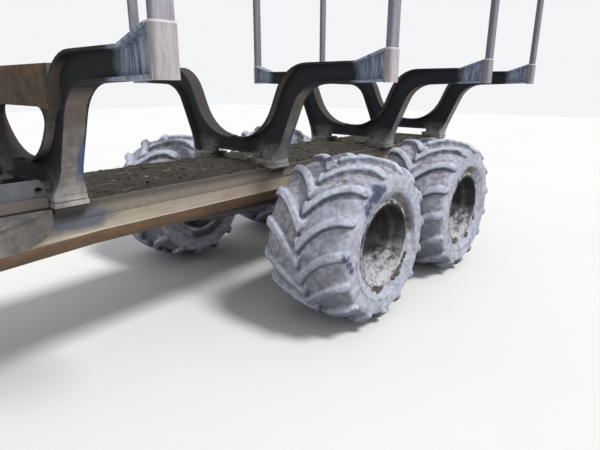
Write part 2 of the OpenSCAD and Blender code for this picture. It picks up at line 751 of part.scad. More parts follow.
// A tube with a floor at the arm's end for a stake, with a gusset before and behind it
module socket() {
    outer_y = stake_span / 2;
    flat = socket_w - 2 * 22;
    translate([0, outer_y, socket_low_h]) difference() {
        linear_extrude(socket_h) rounded(socket_l, socket_w, socket_round);
        translate([0, -socket_wall, 14]) linear_extrude(socket_h)
            rounded(stake_l + 2 * stake_gap, stake_w + 2 * stake_gap, socket_round - socket_wall);
    }
    side_plate(outer_y - 22 - flat, flat) for (s = [-1, 1])
        polygon([[s * (socket_l / 2 - 4), socket_low_h], [s * (socket_l / 2 + socket_flare), socket_low_h],
            [s * (socket_l / 2 + socket_flare), socket_low_h + 12],
            [s * (socket_l / 2 - 4), socket_low_h + 0.75 * socket_h]]);
}

module bunk(x) {
    color([0.3, 0.3, 0.34]) translate([x, 0, 0]) {
        end_plate(-web_t / 2, web_t) bunk_web();
        both_sides() {
            end_plate(-flange_w / 2, flange_w) flange_band(under_edge(0), under_edge(flange_t));
            end_plate(-flange_w / 2, flange_w) flange_band(top_edge(0), top_edge(flange_t));
            foot();
            socket();
        }
        end_plate(-flange_w / 2, flange_w)
            translate([-leg_foot_y + leg_w - 20, foot_top_h + 35])
                square([2 * (leg_foot_y - leg_w + 20), flange_t]);
    }
}

// Bunk 1 also has a box crossbeam between its two legs, rounded into them below
module bunk_1() {
    reach = top_edge(0)[10][0] + 30;
    corner_h = cross_low_h - window_r;
    leg_in = leg_foot_y - leg_w + (corner_h - foot_top_h) * tan(leg_lean);
    c = [leg_in - window_r / cos(leg_lean), corner_h];
    bunk(bunk_1_x);
    color([0.5, 0.44, 0.4]) translate([bunk_1_x, 0, 0]) end_plate(-cross_w / 2, cross_w) {
        polygon([[-reach + 40, cross_low_h], [reach - 40, cross_low_h], [reach, cross_low_h + 40],
            [reach, cross_top_h], [-reach, cross_top_h], [-reach, cross_low_h + 40]]);
        for (s = [-1, 1])
            polygon([for (p = concat(arc(c, window_r, 90, -leg_lean, 8),
                [[leg_in + 8, corner_h - 6], [reach - 30, cross_low_h + 5], [c[0], cross_low_h + 5]]))
                [s * p[0], p[1]]]);
    }
}

module stakes() {
    base_h = socket_low_h + 14;
    color([0.5, 0.47, 0.48]) for (x = bunk_xs)
        translate([x, stake_span / 2 - socket_wall - stake_gap, base_h])
            linear_extrude(stake_top_h - base_h)
                rounded(stake_l, stake_w, socket_round - socket_wall - stake_gap);
}

module gate_frame() {
    half = gate_w / 2;
    top_h = stake_top_h + 20;
    post_y = beam_end_y - gate_foot_in;
    color([0.4, 0.38, 0.38]) translate([gate_x - gate_tube / 2, 0, 0]) {
        for (h = [gate_low_h, top_h - gate_tube])
            translate([0, -half, h]) cube([gate_tube, gate_w, gate_tube]);
        both_sides() {
            translate([0, half - gate_tube, gate_low_h])
                cube([gate_tube, gate_tube, top_h - gate_low_h]);
            translate([0, post_y - gate_tube, deck_h])
                cube([gate_tube, gate_tube, gate_low_h - deck_h + 1]);
            translate([-gate_tube / 3, post_y - 4 * gate_tube / 3, deck_h])
                cube([5 * gate_tube / 3, 5 * gate_tube / 3, 18]);
        }
    }
}

module gate_bars() {
    low = gate_low_h + gate_tube;
    top_h = stake_top_h + 20 - gate_tube;
    inner = gate_w - 2 * gate_tube;
    pitch = inner / (gate_bar_n + 1);
    color([0.36, 0.35, 0.36]) {
        for (i = [1:gate_bar_n])
            translate([gate_x - gate_bar / 2, -inner / 2 + i * pitch - gate_bar / 2, low])
                cube([gate_bar, gate_bar, top_h - low]);
        for (k = [1:2])
            translate([gate_x - gate_bar / 4, -inner / 2, low + k * (top_h - low) / 3 - gate_bar / 2])
                cube([gate_bar / 2, inner, gate_bar]);
    }
}

module crane_pedestal() {
    top_h = deck_h + pedestal_rise;
    color([0.42, 0.4, 0.4]) translate([pedestal_x, 0, 0]) difference() {
        union() {
            translate([0, 0, deck_h]) cylinder(r = pedestal_r, h = pedestal_rise - 1);
            translate([0, 0, deck_h]) cylinder(r = pedestal_flange_r, h = 24);
            translate([0, 0, top_h - pedestal_flange_t])
                cylinder(r = pedestal_flange_r, h = pedestal_flange_t);
            for (i = [0:7]) rotate([0, 0, i * 45 + 22.5])
                translate([pedestal_r - 4, -8, deck_h + 10]) cube([40, 16, pedestal_rise - 20]);
        }
        translate([0, 0, deck_h + 30]) cylinder(r = pedestal_r - 30, h = pedestal_rise);
        for (i = [0:crane_bolt_n - 1]) rotate([0, 0, i * 360 / crane_bolt_n])
            translate([crane_circle_r, 0, top_h - pedestal_flange_t - 1])
                cylinder(r = crane_hole_r, h = pedestal_flange_t + 2);
    }
}

module rear_plate() {
    x = -beam_rear_x - rear_plate_t;
    hitch_h = beam_bottom_h + 60;
    color([0.42, 0.4, 0.4]) {
        end_plate(x, rear_plate_t) beam_end_view(beam_end_y, beam_bottom_h);
        difference() {
            translate([x - hitch_l, -hitch_w / 2, hitch_h]) cube([hitch_l + 1, hitch_w, hitch_t]);
            translate([x - hitch_l / 2, 0, hitch_h - 1]) cylinder(r = hitch_bore_r, h = hitch_t + 2);
        }
    }
}

module rear_lamps() {
    x = -beam_rear_x - rear_plate_t;
    color([0.55, 0.1, 0.08]) both_sides()
        translate([0, lamp_y, deck_h - 80]) rod_x(lamp_r, x - 45, x);
}

module bogie_side(side, end) {
    mirror([0, side < 0 ? 1 : 0, 0]) at_wheel(end) children();
}

on_ground() pivot_yoke();
on_ground() roll_race();
on_ground() roll_ring();
on_ground() head_plate();
on_ground() frame_beam();
on_ground() side_doublers();
on_ground() deck_rails();
on_ground() crane_pedestal();
on_ground() gate_frame();
on_ground() gate_bars();
on_ground() bunk_1();
on_ground() bunk(bunk_2_x);  // bunk_2
on_ground() bunk(bunk_3_x);  // bunk_3
on_ground() bunk(bunk_4_x);  // bunk_4
on_ground() stakes();  // stakes_left
on_ground() mirror([0, 1, 0]) stakes();  // stakes_right
on_ground() rear_plate();
on_ground() rear_lamps();
on_ground() axle_housing();
on_ground() axle_saddles();
on_ground() drive_shaft();
on_ground() shaft_bearing();
on_ground() bogie_case();  // bogie_case_left
on_ground() mirror([0, 1, 0]) bogie_case();  // bogie_case_right
on_ground() bogie_side(1, 1) hub();  // hub_fl
on_ground() bogie_side(1, -1) hub();  // hub_rl
on_ground() bogie_side(-1, 1) hub();  // hub_fr
on_ground() bogie_side(-1, -1) hub();  // hub_rr
on_ground() bogie_side(1, 1) rim();  // rim_fl
on_ground() bogie_side(1, -1) rim();  // rim_rl
on_ground() bogie_side(-1, 1) rim();  // rim_fr
on_ground() bogie_side(-1, -1) rim();  // rim_rr
on_ground() bogie_side(1, 1) tyre(0);  // tyre_fl
on_ground() bogie_side(1, -1) tyre(1);  // tyre_rl
on_ground() bogie_side(-1, 1) tyre(2);  // tyre_fr
on_ground() bogie_side(-1, -1) tyre(3);  // tyre_rr
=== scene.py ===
# %% [markdown]
# The rear load carriage of a forestry forwarder stands on four wide lugged tyres.
# A box beam carries four bunks with stakes, and two bogie cases carry the wheels.
# The solids come packed, in metres, with their joints. This lesson gives them their looks:
# tyres as real lugged rubber, mud, worn paint, welds, bolts and the litter of the forest.

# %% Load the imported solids
import json
import math
import random
import bmesh
import bpy
import numpy as np
from mathutils import Matrix, Vector, noise


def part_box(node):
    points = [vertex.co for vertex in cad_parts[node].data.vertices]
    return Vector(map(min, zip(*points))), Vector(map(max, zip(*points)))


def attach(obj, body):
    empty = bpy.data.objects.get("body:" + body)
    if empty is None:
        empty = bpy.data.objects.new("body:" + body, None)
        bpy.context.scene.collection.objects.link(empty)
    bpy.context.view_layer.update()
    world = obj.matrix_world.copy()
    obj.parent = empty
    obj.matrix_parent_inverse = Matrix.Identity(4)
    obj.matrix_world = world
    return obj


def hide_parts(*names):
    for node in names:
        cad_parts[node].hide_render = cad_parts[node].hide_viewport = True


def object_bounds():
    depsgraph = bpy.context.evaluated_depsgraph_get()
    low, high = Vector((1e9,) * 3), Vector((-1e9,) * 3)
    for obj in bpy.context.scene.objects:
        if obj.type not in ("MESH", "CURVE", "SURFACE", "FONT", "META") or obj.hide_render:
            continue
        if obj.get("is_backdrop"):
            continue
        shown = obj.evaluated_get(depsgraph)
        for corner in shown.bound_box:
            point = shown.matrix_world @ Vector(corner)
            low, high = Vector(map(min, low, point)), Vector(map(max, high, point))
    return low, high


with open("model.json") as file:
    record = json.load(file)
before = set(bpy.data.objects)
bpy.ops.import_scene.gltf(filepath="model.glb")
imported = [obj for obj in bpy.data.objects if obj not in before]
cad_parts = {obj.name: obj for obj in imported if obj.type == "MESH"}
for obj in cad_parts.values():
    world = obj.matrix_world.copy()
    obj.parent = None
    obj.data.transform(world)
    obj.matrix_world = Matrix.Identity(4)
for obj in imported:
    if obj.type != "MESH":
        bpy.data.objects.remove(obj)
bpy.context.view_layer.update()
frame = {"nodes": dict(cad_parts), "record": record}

nodes = frame["nodes"]
record = frame["record"]
MM = 0.001

# %% [markdown]
# Places are worked out from the solids where they can be, so that the looks follow when a
# size changes. The tyres give the ground and the wheel centres, and the bunks, the doublers
# and the rails give the other places. Such named values come before any mesh is made.

# %% Measure the places that the looks hang on
END_NAMES = ("fl", "rl", "fr", "rr")
wheel = {}
for end in END_NAMES:
    low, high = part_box("tyre_" + end)
    side = 1 if high.y > 0 else -1
    wheel[end] = {"centre": (low + high) / 2, "side": side, "body": "wheel_" + end}
tyre_low, tyre_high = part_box("tyre_fl")
TYRE_R = (tyre_high.z - tyre_low.z) / 2
TYRE_W = tyre_high.y - tyre_low.y
rim_low, rim_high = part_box("rim_fl")
RIM_R = (rim_high.z - rim_low.z) / 2
RIM_W = rim_high.y - rim_low.y
GROUND = tyre_low.z
AXLE_X = (wheel["fl"]["centre"].x + wheel["rl"]["centre"].x) / 2
BUNKS = ("bunk_1", "bunk_2", "bunk_3", "bunk_4")
bunk_x = {name: (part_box(name)[0].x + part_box(name)[1].x) / 2 for name in BUNKS}
BEAM_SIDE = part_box("side_doublers")[1].y


def above(height):
    """A height over the ground, in the frame of the solids."""
    return GROUND + height


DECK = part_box("deck_rails")[0].z
SOCKET_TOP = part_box("bunk_1")[1].z
print("wheel radius %.3f width %.3f, ground at %.3f" % (TYRE_R, TYRE_W, GROUND))

# %% [markdown]
# The camera stands at eye height beside the load space, a little ahead of the first
# bunk, and looks back and down at the wheels. Its place was solved from the known
# tyre size, so the lens and the angles are real measures and need no trial and error.

# %% Camera
CAMERA_AHEAD = 3.375
CAMERA_OUT = 2.854
CAMERA_UP = 1.642
CAMERA_YAW = math.radians(40.43)
CAMERA_PITCH = math.radians(16.62)
CAMERA_ROLL = math.radians(0.11)
LENS_MM = 28.13
SENSOR_MM = 36


def add_object(name, data):
    """A new object that stands in the scene."""
    made = bpy.data.objects.new(name, data)
    bpy.context.scene.collection.objects.link(made)
    return made


def make_camera():
    data = bpy.data.cameras.new("camera")
    data.lens = LENS_MM
    data.sensor_width = SENSOR_MM
    cam = add_object("camera", data)
    look = Vector((-math.cos(CAMERA_YAW) * math.cos(CAMERA_PITCH),
                   -math.sin(CAMERA_YAW) * math.cos(CAMERA_PITCH), -math.sin(CAMERA_PITCH)))
    right = look.cross(Vector((0, 0, 1))).normalized()
    up = right.cross(look)
    right_rolled = right * math.cos(CAMERA_ROLL) + up * math.sin(CAMERA_ROLL)
    up_rolled = up * math.cos(CAMERA_ROLL) - right * math.sin(CAMERA_ROLL)
    turn = Matrix((right_rolled, up_rolled, -look)).transposed()
    place = Vector((AXLE_X + CAMERA_AHEAD, CAMERA_OUT, GROUND + CAMERA_UP))
    cam.matrix_world = Matrix.Translation(place) @ turn.to_4x4()
    bpy.context.scene.camera = cam
    return cam


camera = make_camera()
print("camera at", [round(v, 3) for v in camera.location])

# %% [markdown]
# A finish is a small tree of shader nodes that is painted layer by layer. A mask says where a
# layer lies. It is a number, a node's output, or a short list in brackets: a value and the two
# limits between which the mask goes from 0 to 1. Image textures would be quicker, but they
# don't scale.

# %% Helpers for shader trees


def dim(colour, share):
    """A darker shade of a colour."""
    return tuple(share * v for v in colour)


def join(tree, socket, value):
    """Link a socket to another node's output, or give it a plain value."""
    if isinstance(value, bpy.types.NodeSocket):
        tree.links.new(value, socket)
    else:
        socket.default_value = value


def add_node(tree, kind, inputs=None, **settings):
    made = tree.nodes.new(kind)
    for key, value in settings.items():
        setattr(made, key, value)
    for key, value in (inputs or {}).items():
        join(tree, made.inputs[key], value)
    return made


print("tree helpers ready")

# %% [markdown]
# One finish is one material and the colour that its layers have given so far. Each call adds
# a node and hands back its output, so that a finish reads like a list of layers. The same
# tree could be wired by hand in the editor, but a dozen of them would then not stay alike.

# %% A finish and its calls


class Finish:
    """A material, the colour that its layers give so far, and the calls that grow its tree."""

    def __init__(self, name, rough):
        self.material = bpy.data.materials.new(name)
        self.material.use_nodes = True
        self.tree = self.material.node_tree
        self.shader = self.tree.nodes["Principled BSDF"]
        self.shader.inputs["Roughness"].default_value = rough
        self.place = self.node("ShaderNodeTexCoord").outputs["Object"]
        self.tone = None

    def node(self, kind, inputs=None, **settings):
        ready = {key: self.mask(value) for key, value in (inputs or {}).items()}
        return add_node(self.tree, kind, ready, **settings)

    def mask(self, value):
        """A band, if the value is such a short list."""
        listed = isinstance(value, tuple) and isinstance(value[0], bpy.types.NodeSocket)
        return self.band(*value) if listed else value

    def mapped(self, stretch=(1, 1, 1), shift=0.0):
        moved = (shift, shift * 0.7, -shift)
        return self.node("ShaderNodeMapping", {"Vector": self.place, "Scale": stretch,
                                               "Location": moved}).outputs[0]

    def noise(self, scale, detail=5, rough=0.6, stretch=(1, 1, 1), shift=0.0):
        made = self.node("ShaderNodeTexNoise", {"Vector": self.mapped(stretch, shift), "Scale": scale,
                                                "Detail": detail, "Roughness": rough})
        return made.outputs["Fac"]

    def cracks(self, scale):
        """Distance from the nearest line of a net of cells."""
        made = self.node("ShaderNodeTexVoronoi", {"Vector": self.mapped(), "Scale": scale},
                         feature="DISTANCE_TO_EDGE")
        return made.outputs["Distance"]

    def attribute(self, name):
        return self.node("ShaderNodeAttribute", attribute_name=name).outputs["Fac"]

    def split(self, vector, name):
        return self.node("ShaderNodeSeparateXYZ", {0: vector}).outputs[name]

    def along(self, name):
        return self.split(self.place, name)

    def facing(self, name):
        return self.split(self.node("ShaderNodeNewGeometry").outputs["Normal"], name)

    def plain(self, kind, *values, clamp=False):
        """A sum, product or the like."""
        made = self.node("ShaderNodeMath", dict(enumerate(values)), operation=kind, use_clamp=clamp)
        return made.outputs[0]

    def math(self, kind, *values):
        """The same, held to the range from 0 to 1."""
        return self.plain(kind, *values, clamp=True)

    def vector(self, kind, *values):
        return self.node("ShaderNodeVectorMath", dict(enumerate(values)), operation=kind).outputs

    def across(self):
        """Distance from the middle plane."""
        return self.plain("ABSOLUTE", self.along("Y"))

    def band(self, value, low, high, start=0.0, end=1.0):
        """A mask that goes from start to end while the value goes from low to high."""
        made = self.node("ShaderNodeMapRange", {"Value": value, "From Min": low, "From Max": high,
                                                "To Min": start, "To Max": end}, clamp=True)
        return made.outputs["Result"]

    def ragged(self, value, amount, scale):
        """The value, moved up and down by noise, so that a border between colours is torn."""
        wander = self.noise(scale, detail=6, rough=0.7, shift=6.0)
        return self.plain("ADD", value, self.plain("MULTIPLY_ADD", wander, amount, -amount / 2))

    def frayed(self, value, amount, scale, low, high, *ends):
        """A band with a torn border."""
        return self.band(self.ragged(value, amount, scale), low, high, *ends)

    def between(self, value, low, high):
        return self.both((value, low - 0.004, low + 0.004), (value, high + 0.004, high - 0.004))

    def both(self, *masks):
        """Where all the masks are at once."""
        joined = masks[0]
        for mask in masks[1:]:
            joined = self.math("MULTIPLY", joined, mask)
        return joined

    def away(self, point, stretch=None):
        """Distance from a point, with each axis stretched, or left out by a 0."""
        gone = self.vector("SUBTRACT", self.place, tuple(point))[0]
        if stretch:
            gone = self.vector("MULTIPLY", gone, stretch)[0]
        return self.vector("LENGTH", gone)["Value"]

    def spots(self, table, origin):
        """Distance from the edge of the nearest spot of a table of x, y, z and radius."""
        nearest = None
        for x, y, z, radius in table:
            edge = self.plain("SUBTRACT", self.away(origin + Vector((x, y, z))), radius)
            nearest = self.plain("MINIMUM", nearest, edge) if nearest else edge
        return nearest

    def mix(self, amount, a, b):
        made = self.node("ShaderNodeMix", {"Factor": amount}, data_type="RGBA")
        for slot, colour in ((6, a), (7, b)):
            solid = not isinstance(colour, bpy.types.NodeSocket)
            join(self.tree, made.inputs[slot], (*colour, 1) if solid else colour)
        return made.outputs[2]

    def lay(self, tint, *masks):
        """One more layer: a tint where all the masks are."""
        self.tone = self.mix(self.both(*masks), self.tone, tint)

    def done(self, roughness=None, *bumps):
        """Join the layers to the shader, with bumps of a height, a strength and a depth."""
        join(self.tree, self.shader.inputs["Base Color"], self.tone)
        if roughness:
            join(self.tree, self.shader.inputs["Roughness"], self.mask(roughness))
        normal = None
        for height, strength, depth in bumps:
            inputs = {"Height": height, "Strength": strength, "Distance": depth}
            if normal:
                inputs["Normal"] = normal
            normal = self.node("ShaderNodeBump", inputs).outputs["Normal"]
        if normal:
            join(self.tree, self.shader.inputs["Normal"], normal)
        return self.material


print("finish helper ready")

# %% [markdown]
# Dried mud is what one sees of the tyres: a pale, slightly violet grey skin, darker and browner in the
# valleys, rubbed thin on the lugs, with a few bluish patches of bare damp rubber. Light is painted on it as
# well: a painted highlight where lug tops look up, painted shade on the lower tread, a painted shadow line
# at the foot of each lug's lower wall, and painted shade with the mud in part of the groove beside the rim.
# The mesh carries how high each point lies on a lug, and the finish reads that.

# %% Finish of the tyres
MUD_PALE = (0.60, 0.63, 0.73)
MUD_MID = (0.31, 0.325, 0.395)
MUD_VALLEY = (0.47, 0.465, 0.545)
MUD_BROWN = (0.175, 0.150, 0.140)
MUD_DARK = (0.085, 0.078, 0.082)
STRAW = (0.42, 0.36, 0.24)
SMUDGE = (0.165, 0.158, 0.175)
SIDE_GREY = (0.27, 0.265, 0.29)
LOW_SHADE = (0.105, 0.115, 0.15)
GROOVE_MUD_AND_SHADE = ((0.115, 0.10, 0.09), (0.22, 0.20, 0.19))
CREASE_DARK = (0.085, 0.088, 0.110)
LUG_FOOT_SHADOW = (0.05, 0.053, 0.070)
RUBBER_DAMP = (0.012, 0.025, 0.078)
# x, y and z from the left front wheel's centre, and the radius
DAMP_SPOTS = ((0.110, 0.345, 0.408, 0.030), (0.155, 0.345, 0.392, 0.044), (0.198, 0.345, 0.373, 0.052),
              (0.240, 0.345, 0.342, 0.052), (0.282, 0.345, 0.307, 0.042), (0.195, 0.343, 0.408, 0.046),
              (0.500, 0.330, 0.040, 0.030), (0.470, 0.345, -0.010, 0.024), (0.450, 0.345, -0.050, 0.020),
              (0.157, -0.067, 0.560, 0.044))
TYRE_MARKS = ("lug", "sidewall", "groove", "under", "crease")


def make_tyre_finish():
    f = Finish("tyre_muddy", 0.92)
    lug, side, groove, under, crease = [f.attribute(name) for name in TYRE_MARKS]
    up = f.facing("Z")
    broad = f.noise(3.4, detail=4, rough=0.55)
    streaks = f.noise(19, detail=8, rough=0.7, shift=3.0)
    grit = f.noise(150, detail=4, rough=0.75, shift=8.0)
    specks = f.noise(46, detail=4, rough=0.65, shift=5.0)
    smears = f.noise(9, detail=7, rough=0.75, shift=14.0)
    torn = f.noise(22, detail=6, rough=0.7, shift=19.0)
    damp = f.noise(5.2, detail=6, rough=0.65, shift=11.0)
    valley = f.both((lug, 0.5, 0.08), (side, 0.6, 0.1))
    f.tone = f.mix((streaks, 0.36, 0.62), MUD_MID, MUD_PALE)
    f.lay(dim(MUD_MID, 0.50), (grit, 0.42, 0.70, 0.0, 0.55))
    f.lay(f.mix((streaks, 0.38, 0.62), MUD_BROWN, MUD_VALLEY), valley, (broad, 0.38, 0.60, 0.25, 0.80))
    f.lay(f.mix((grit, 0.50, 0.60), MUD_DARK, STRAW),
          (specks, 0.55, 0.60), (broad, 0.46, 0.53), valley, (up, -0.1, 0.3), 0.85)
    # Paler mud on the lug tops, and a painted highlight where they look up.
    f.lay(MUD_PALE, (lug, 0.55, 0.9), (up, -0.5, 0.5, 0.2, 1.0), (streaks, 0.3, 0.5), 0.55)
    f.lay(SMUDGE, (smears, 0.54, 0.62), (side, 0.1, 0.6, 0.45, 1.0), 0.62)
    f.lay(SIDE_GREY, (side, 0.3, 0.9, 0.0, 0.22))
    f.lay(LOW_SHADE, f.frayed(up, 0.5, 14, 0.15, -0.50, 0.0, 0.86), (side, 0.9, 0.2))
    # A painted shadow line at the foot of each lug's lower wall.
    f.lay(LUG_FOOT_SHADOW, under, (streaks, 0.66, 0.46, 0.25, 0.92))
    # Brown mud tone with painted shade in the open stretch of the groove beside the rim.
    f.lay(f.mix((streaks, 0.4, 0.6), *GROOVE_MUD_AND_SHADE), groove, 0.92)
    f.lay(CREASE_DARK, crease, (torn, 0.47, 0.56), 0.72)
    rubbed = f.both((damp, 0.60, 0.72, 0.0, 0.55), (lug, 0.3, 0.8, 0.25, 1.0))
    spot = f.frayed(f.spots(DAMP_SPOTS, wheel["fl"]["centre"]), 0.055, 26, 0.012, -0.010)
    bare = f.math("MAXIMUM", rubbed, f.both(spot, (streaks, 0.64, 0.50, 0.35, 1.0)))
    f.lay(RUBBER_DAMP, bare, 0.97)
    return f.done((bare, 0.0, 1.0, 0.95, 0.5), (grit, 0.45, 0.003), (streaks, 0.6, 0.008),
                  ((f.cracks(34), 0.0, 0.05), 0.15, 0.002))


tyre_finish = make_tyre_finish()
print("made", tyre_finish.name)

# %% [markdown]
# Steel outdoors is paint under dust. Dust settles where a face looks up, rust comes through
# where the paint is scratched, and both follow noise in more than one size. One function
# with named colours makes every painted steel of the carriage, so that they belong together,
# and each piece may add a dress of its own: layers that know where they lie on it.

# %% Paint under dust


def dusty_paint(name, paint, dust, rust, cover=0.5, settle=0.6, rust_share=0.25, gloss=0.6,
                streak=(1, 1, 1), grain=1.0, dress=None):
    """Paint with rust in its scratches, under dust that covers it loosely and settles on top."""
    f = Finish(name, gloss)
    f.broad = f.noise(2.6 * grain, detail=5, rough=0.6)
    f.patches = f.noise(13 * grain, detail=8, rough=0.7, stretch=streak, shift=4.0)
    f.grit = f.noise(240, detail=3, rough=0.75, shift=9.0)
    f.scratch = f.noise(34 * grain, detail=9, rough=0.8, stretch=streak, shift=2.0)
    f.tone = f.mix((f.patches, 0.4, 0.7, 0.0, 0.5), paint, dim(paint, 0.55))
    f.lay(rust, (f.scratch, 0.66 - 0.25 * rust_share, 0.74 - 0.2 * rust_share), (f.broad, 0.35, 0.6))
    loose = f.math("ADD", f.both(f.patches, 0.6), f.both(f.broad, 0.4))
    loose = f.both((loose, 0.62 - 0.35 * cover, 0.80 - 0.35 * cover), min(1.0, 0.35 + cover))
    layer = f.math("MAXIMUM", loose, (f.facing("Z"), 0.2, 0.95, 0.0, settle))
    layer = f.both(layer, (f.grit, 0.25, 0.55, 0.75, 1.0))
    f.lay(f.mix((f.grit, 0.3, 0.7), dim(dust, 0.72), dust), layer)
    if dress:
        dress(f)
    return f.done((layer, 0.0, 1.0, gloss, 0.93), (f.grit, 0.25, 0.0015), (f.patches, 0.3, 0.003))


DUST_TAN = (0.29, 0.245, 0.19)
DUST_GREY = (0.24, 0.225, 0.215)
DUST_BRIGHT = (0.40, 0.335, 0.265)
GREY_PAINT = (0.095, 0.10, 0.12)
GREY_DUST = (0.20, 0.19, 0.18)
BLUE_PAINT = (0.045, 0.075, 0.17)
CAST_SHADOW = (0.045, 0.040, 0.037)
# Needles and bark, darkened as painted shade.
NEEDLES_IN_SHADE = (0.018, 0.015, 0.011)
CLAY_AND_BOUNCE = (0.27, 0.130, 0.050)
RUST = (0.15, 0.062, 0.028)
RUST_PALE = (0.28, 0.16, 0.09)
print("paint and dust tones ready, tan dust is", DUST_TAN)

# %% [markdown]
# The frame beam is a long box with a bevelled lower edge. Litter covers its deck, and its side is bright
# with dust round a damp bluish stain. The bevel's orange brown is clay with painted bounce light from the
# ground, painted darker towards the bottom as shade, and a painted highlight runs along its upper edge.
# Painted shadow lies just below the deck's edge, under the cap and under the foot of bunk 1. A painted
# picture of each side could show more, but layers that are bounded by height, and by the way a face looks,
# need no picture and move with the deck.

# %% Dress of the frame beam


def litter_and_shade_tone(f):
    """Dark bark and needles, made darker still as painted shade: short strokes that lie this way and that,
    with a few straws.
    """
    one = f.noise(70, detail=4, rough=0.7, stretch=(0.25, 1, 1), shift=1.0)
    two = f.noise(70, detail=4, rough=0.7, stretch=(1, 0.22, 1), shift=7.0)
    strokes = f.math("MAXIMUM", one, two)
    tone = f.mix((strokes, 0.50, 0.64), NEEDLES_IN_SHADE, (0.046, 0.038, 0.027))
    return f.mix((strokes, 0.68, 0.72), tone, (0.19, 0.16, 0.11))


CAP_LOW = DECK - 0.084
BEVEL_TOP = DECK - 0.176
STAIN_AT = Vector((AXLE_X + 2.32, 0.415, DECK - 0.095))
FOOT_1_AT = Vector((bunk_x["bunk_1"], BEAM_SIDE, DECK))
CAP_DUST = (0.175, 0.156, 0.140)
DECK_EDGE_SHADOW = (0.085, 0.075, 0.064)
SMEAR = (0.13, 0.11, 0.09)
STAIN = (0.075, 0.092, 0.118)
BEVEL_HIGHLIGHT = (0.58, 0.51, 0.44)
BELOW = (0.06, 0.05, 0.045)


def beam_dress(f):
    """Litter on the deck, a bright dusty side, a bluish damp stain, clay with painted bounce light and
    painted shade on the bevel, a painted highlight along its edge, and painted shadows below the deck's
    edge, under the cap and under bunk 1's foot.
    """
    height = f.along("Z")
    up = f.facing("Z")
    runs = f.noise(30, detail=7, rough=0.75, stretch=(1, 1, 0.16), shift=13.0)
    f.lay(DUST_BRIGHT, (height, CAP_LOW, BEVEL_TOP + 0.02, 0.35, 1.0), (f.patches, 0.33, 0.55, 0.3, 1.0),
          (height, CAP_LOW + 0.004, CAP_LOW - 0.004))
    f.lay(CAP_DUST, f.between(height, CAP_LOW, DECK), (f.patches, 0.35, 0.65))
    # Painted shadow just below the deck's edge, on the faces that don't look up.
    f.lay(DECK_EDGE_SHADOW, f.frayed(height, 0.030, 26, DECK - 0.050, DECK - 0.020), (up, 0.7, 0.3))
    f.lay(SMEAR, (runs, 0.5, 0.66), (height, DECK - 0.17, DECK - 0.02), 0.45)
    f.lay(STAIN, f.frayed(f.away(STAIN_AT, (0.55, 0.3, 1.6)), 0.11, 9, 0.13, 0.07), 0.88)
    # Painted shadow on the beam's side under the foot of bunk 1.
    f.lay(CAST_SHADOW, f.frayed(f.away(FOOT_1_AT, (0.6, 0.5, 1.0)), 0.04, 14, 0.100, 0.065), (up, 0.9, 0.6))
    # A painted highlight along the upper edge of the bevel.
    line = f.between(f.ragged(height, 0.01, 20), BEVEL_TOP - 0.006, BEVEL_TOP + 0.008)
    f.lay(BEVEL_HIGHLIGHT, line, 0.55)
    # The bevel's orange brown is clay with painted bounce light from the ground, painted darker towards the
    # bottom as shade.
    clay = f.mix((f.patches, 0.35, 0.6), dim(CLAY_AND_BOUNCE, 0.38), dim(CLAY_AND_BOUNCE, 0.8))
    clay = f.mix((runs, 0.5, 0.62), clay, (0.075, 0.053, 0.034))
    clay = f.mix((height, BEVEL_TOP - 0.02, BEVEL_TOP - 0.12, 0.0, 0.7), clay, (0.045, 0.030, 0.021))
    f.lay(clay, (up, -0.25, -0.6), (height, DECK - 0.13, DECK - 0.16), 0.9)
    # Painted shadow on the faces that look down under the cap strip.
    f.lay(CAST_SHADOW, (height, DECK - 0.14, DECK - 0.11), (up, -0.6, -0.75))
    f.lay(litter_and_shade_tone(f), (up, 0.6, 0.9), f.frayed(f.across(), 0.05, 9, 0.44, 0.385))
    f.lay(BELOW, (up, -0.75, -0.95), (f.patches, 0.7, 0.4), 0.6)


print("cap strip from height %.3f to %.3f" % (CAP_LOW, DECK))

# %% [markdown]
# A bunk is a web plate with a flange round its edges. Its outer faces are dusty, blue paint is
# left on a part of them, and the sockets are worn pale. Four materials made by hand would
# drift apart, so one function makes the dress and is told where the bunk's middle is. Bunk 1
# adds the brown of its box crossbeam.

# %% Dress of the bunks
SOCKET_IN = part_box("stakes_left")[0].y - 0.006
INNER_SHADE = (0.05, 0.04, 0.033)
FLECKS = (0.60, 0.63, 0.70)
WORN_EDGE = (0.66, 0.62, 0.63)


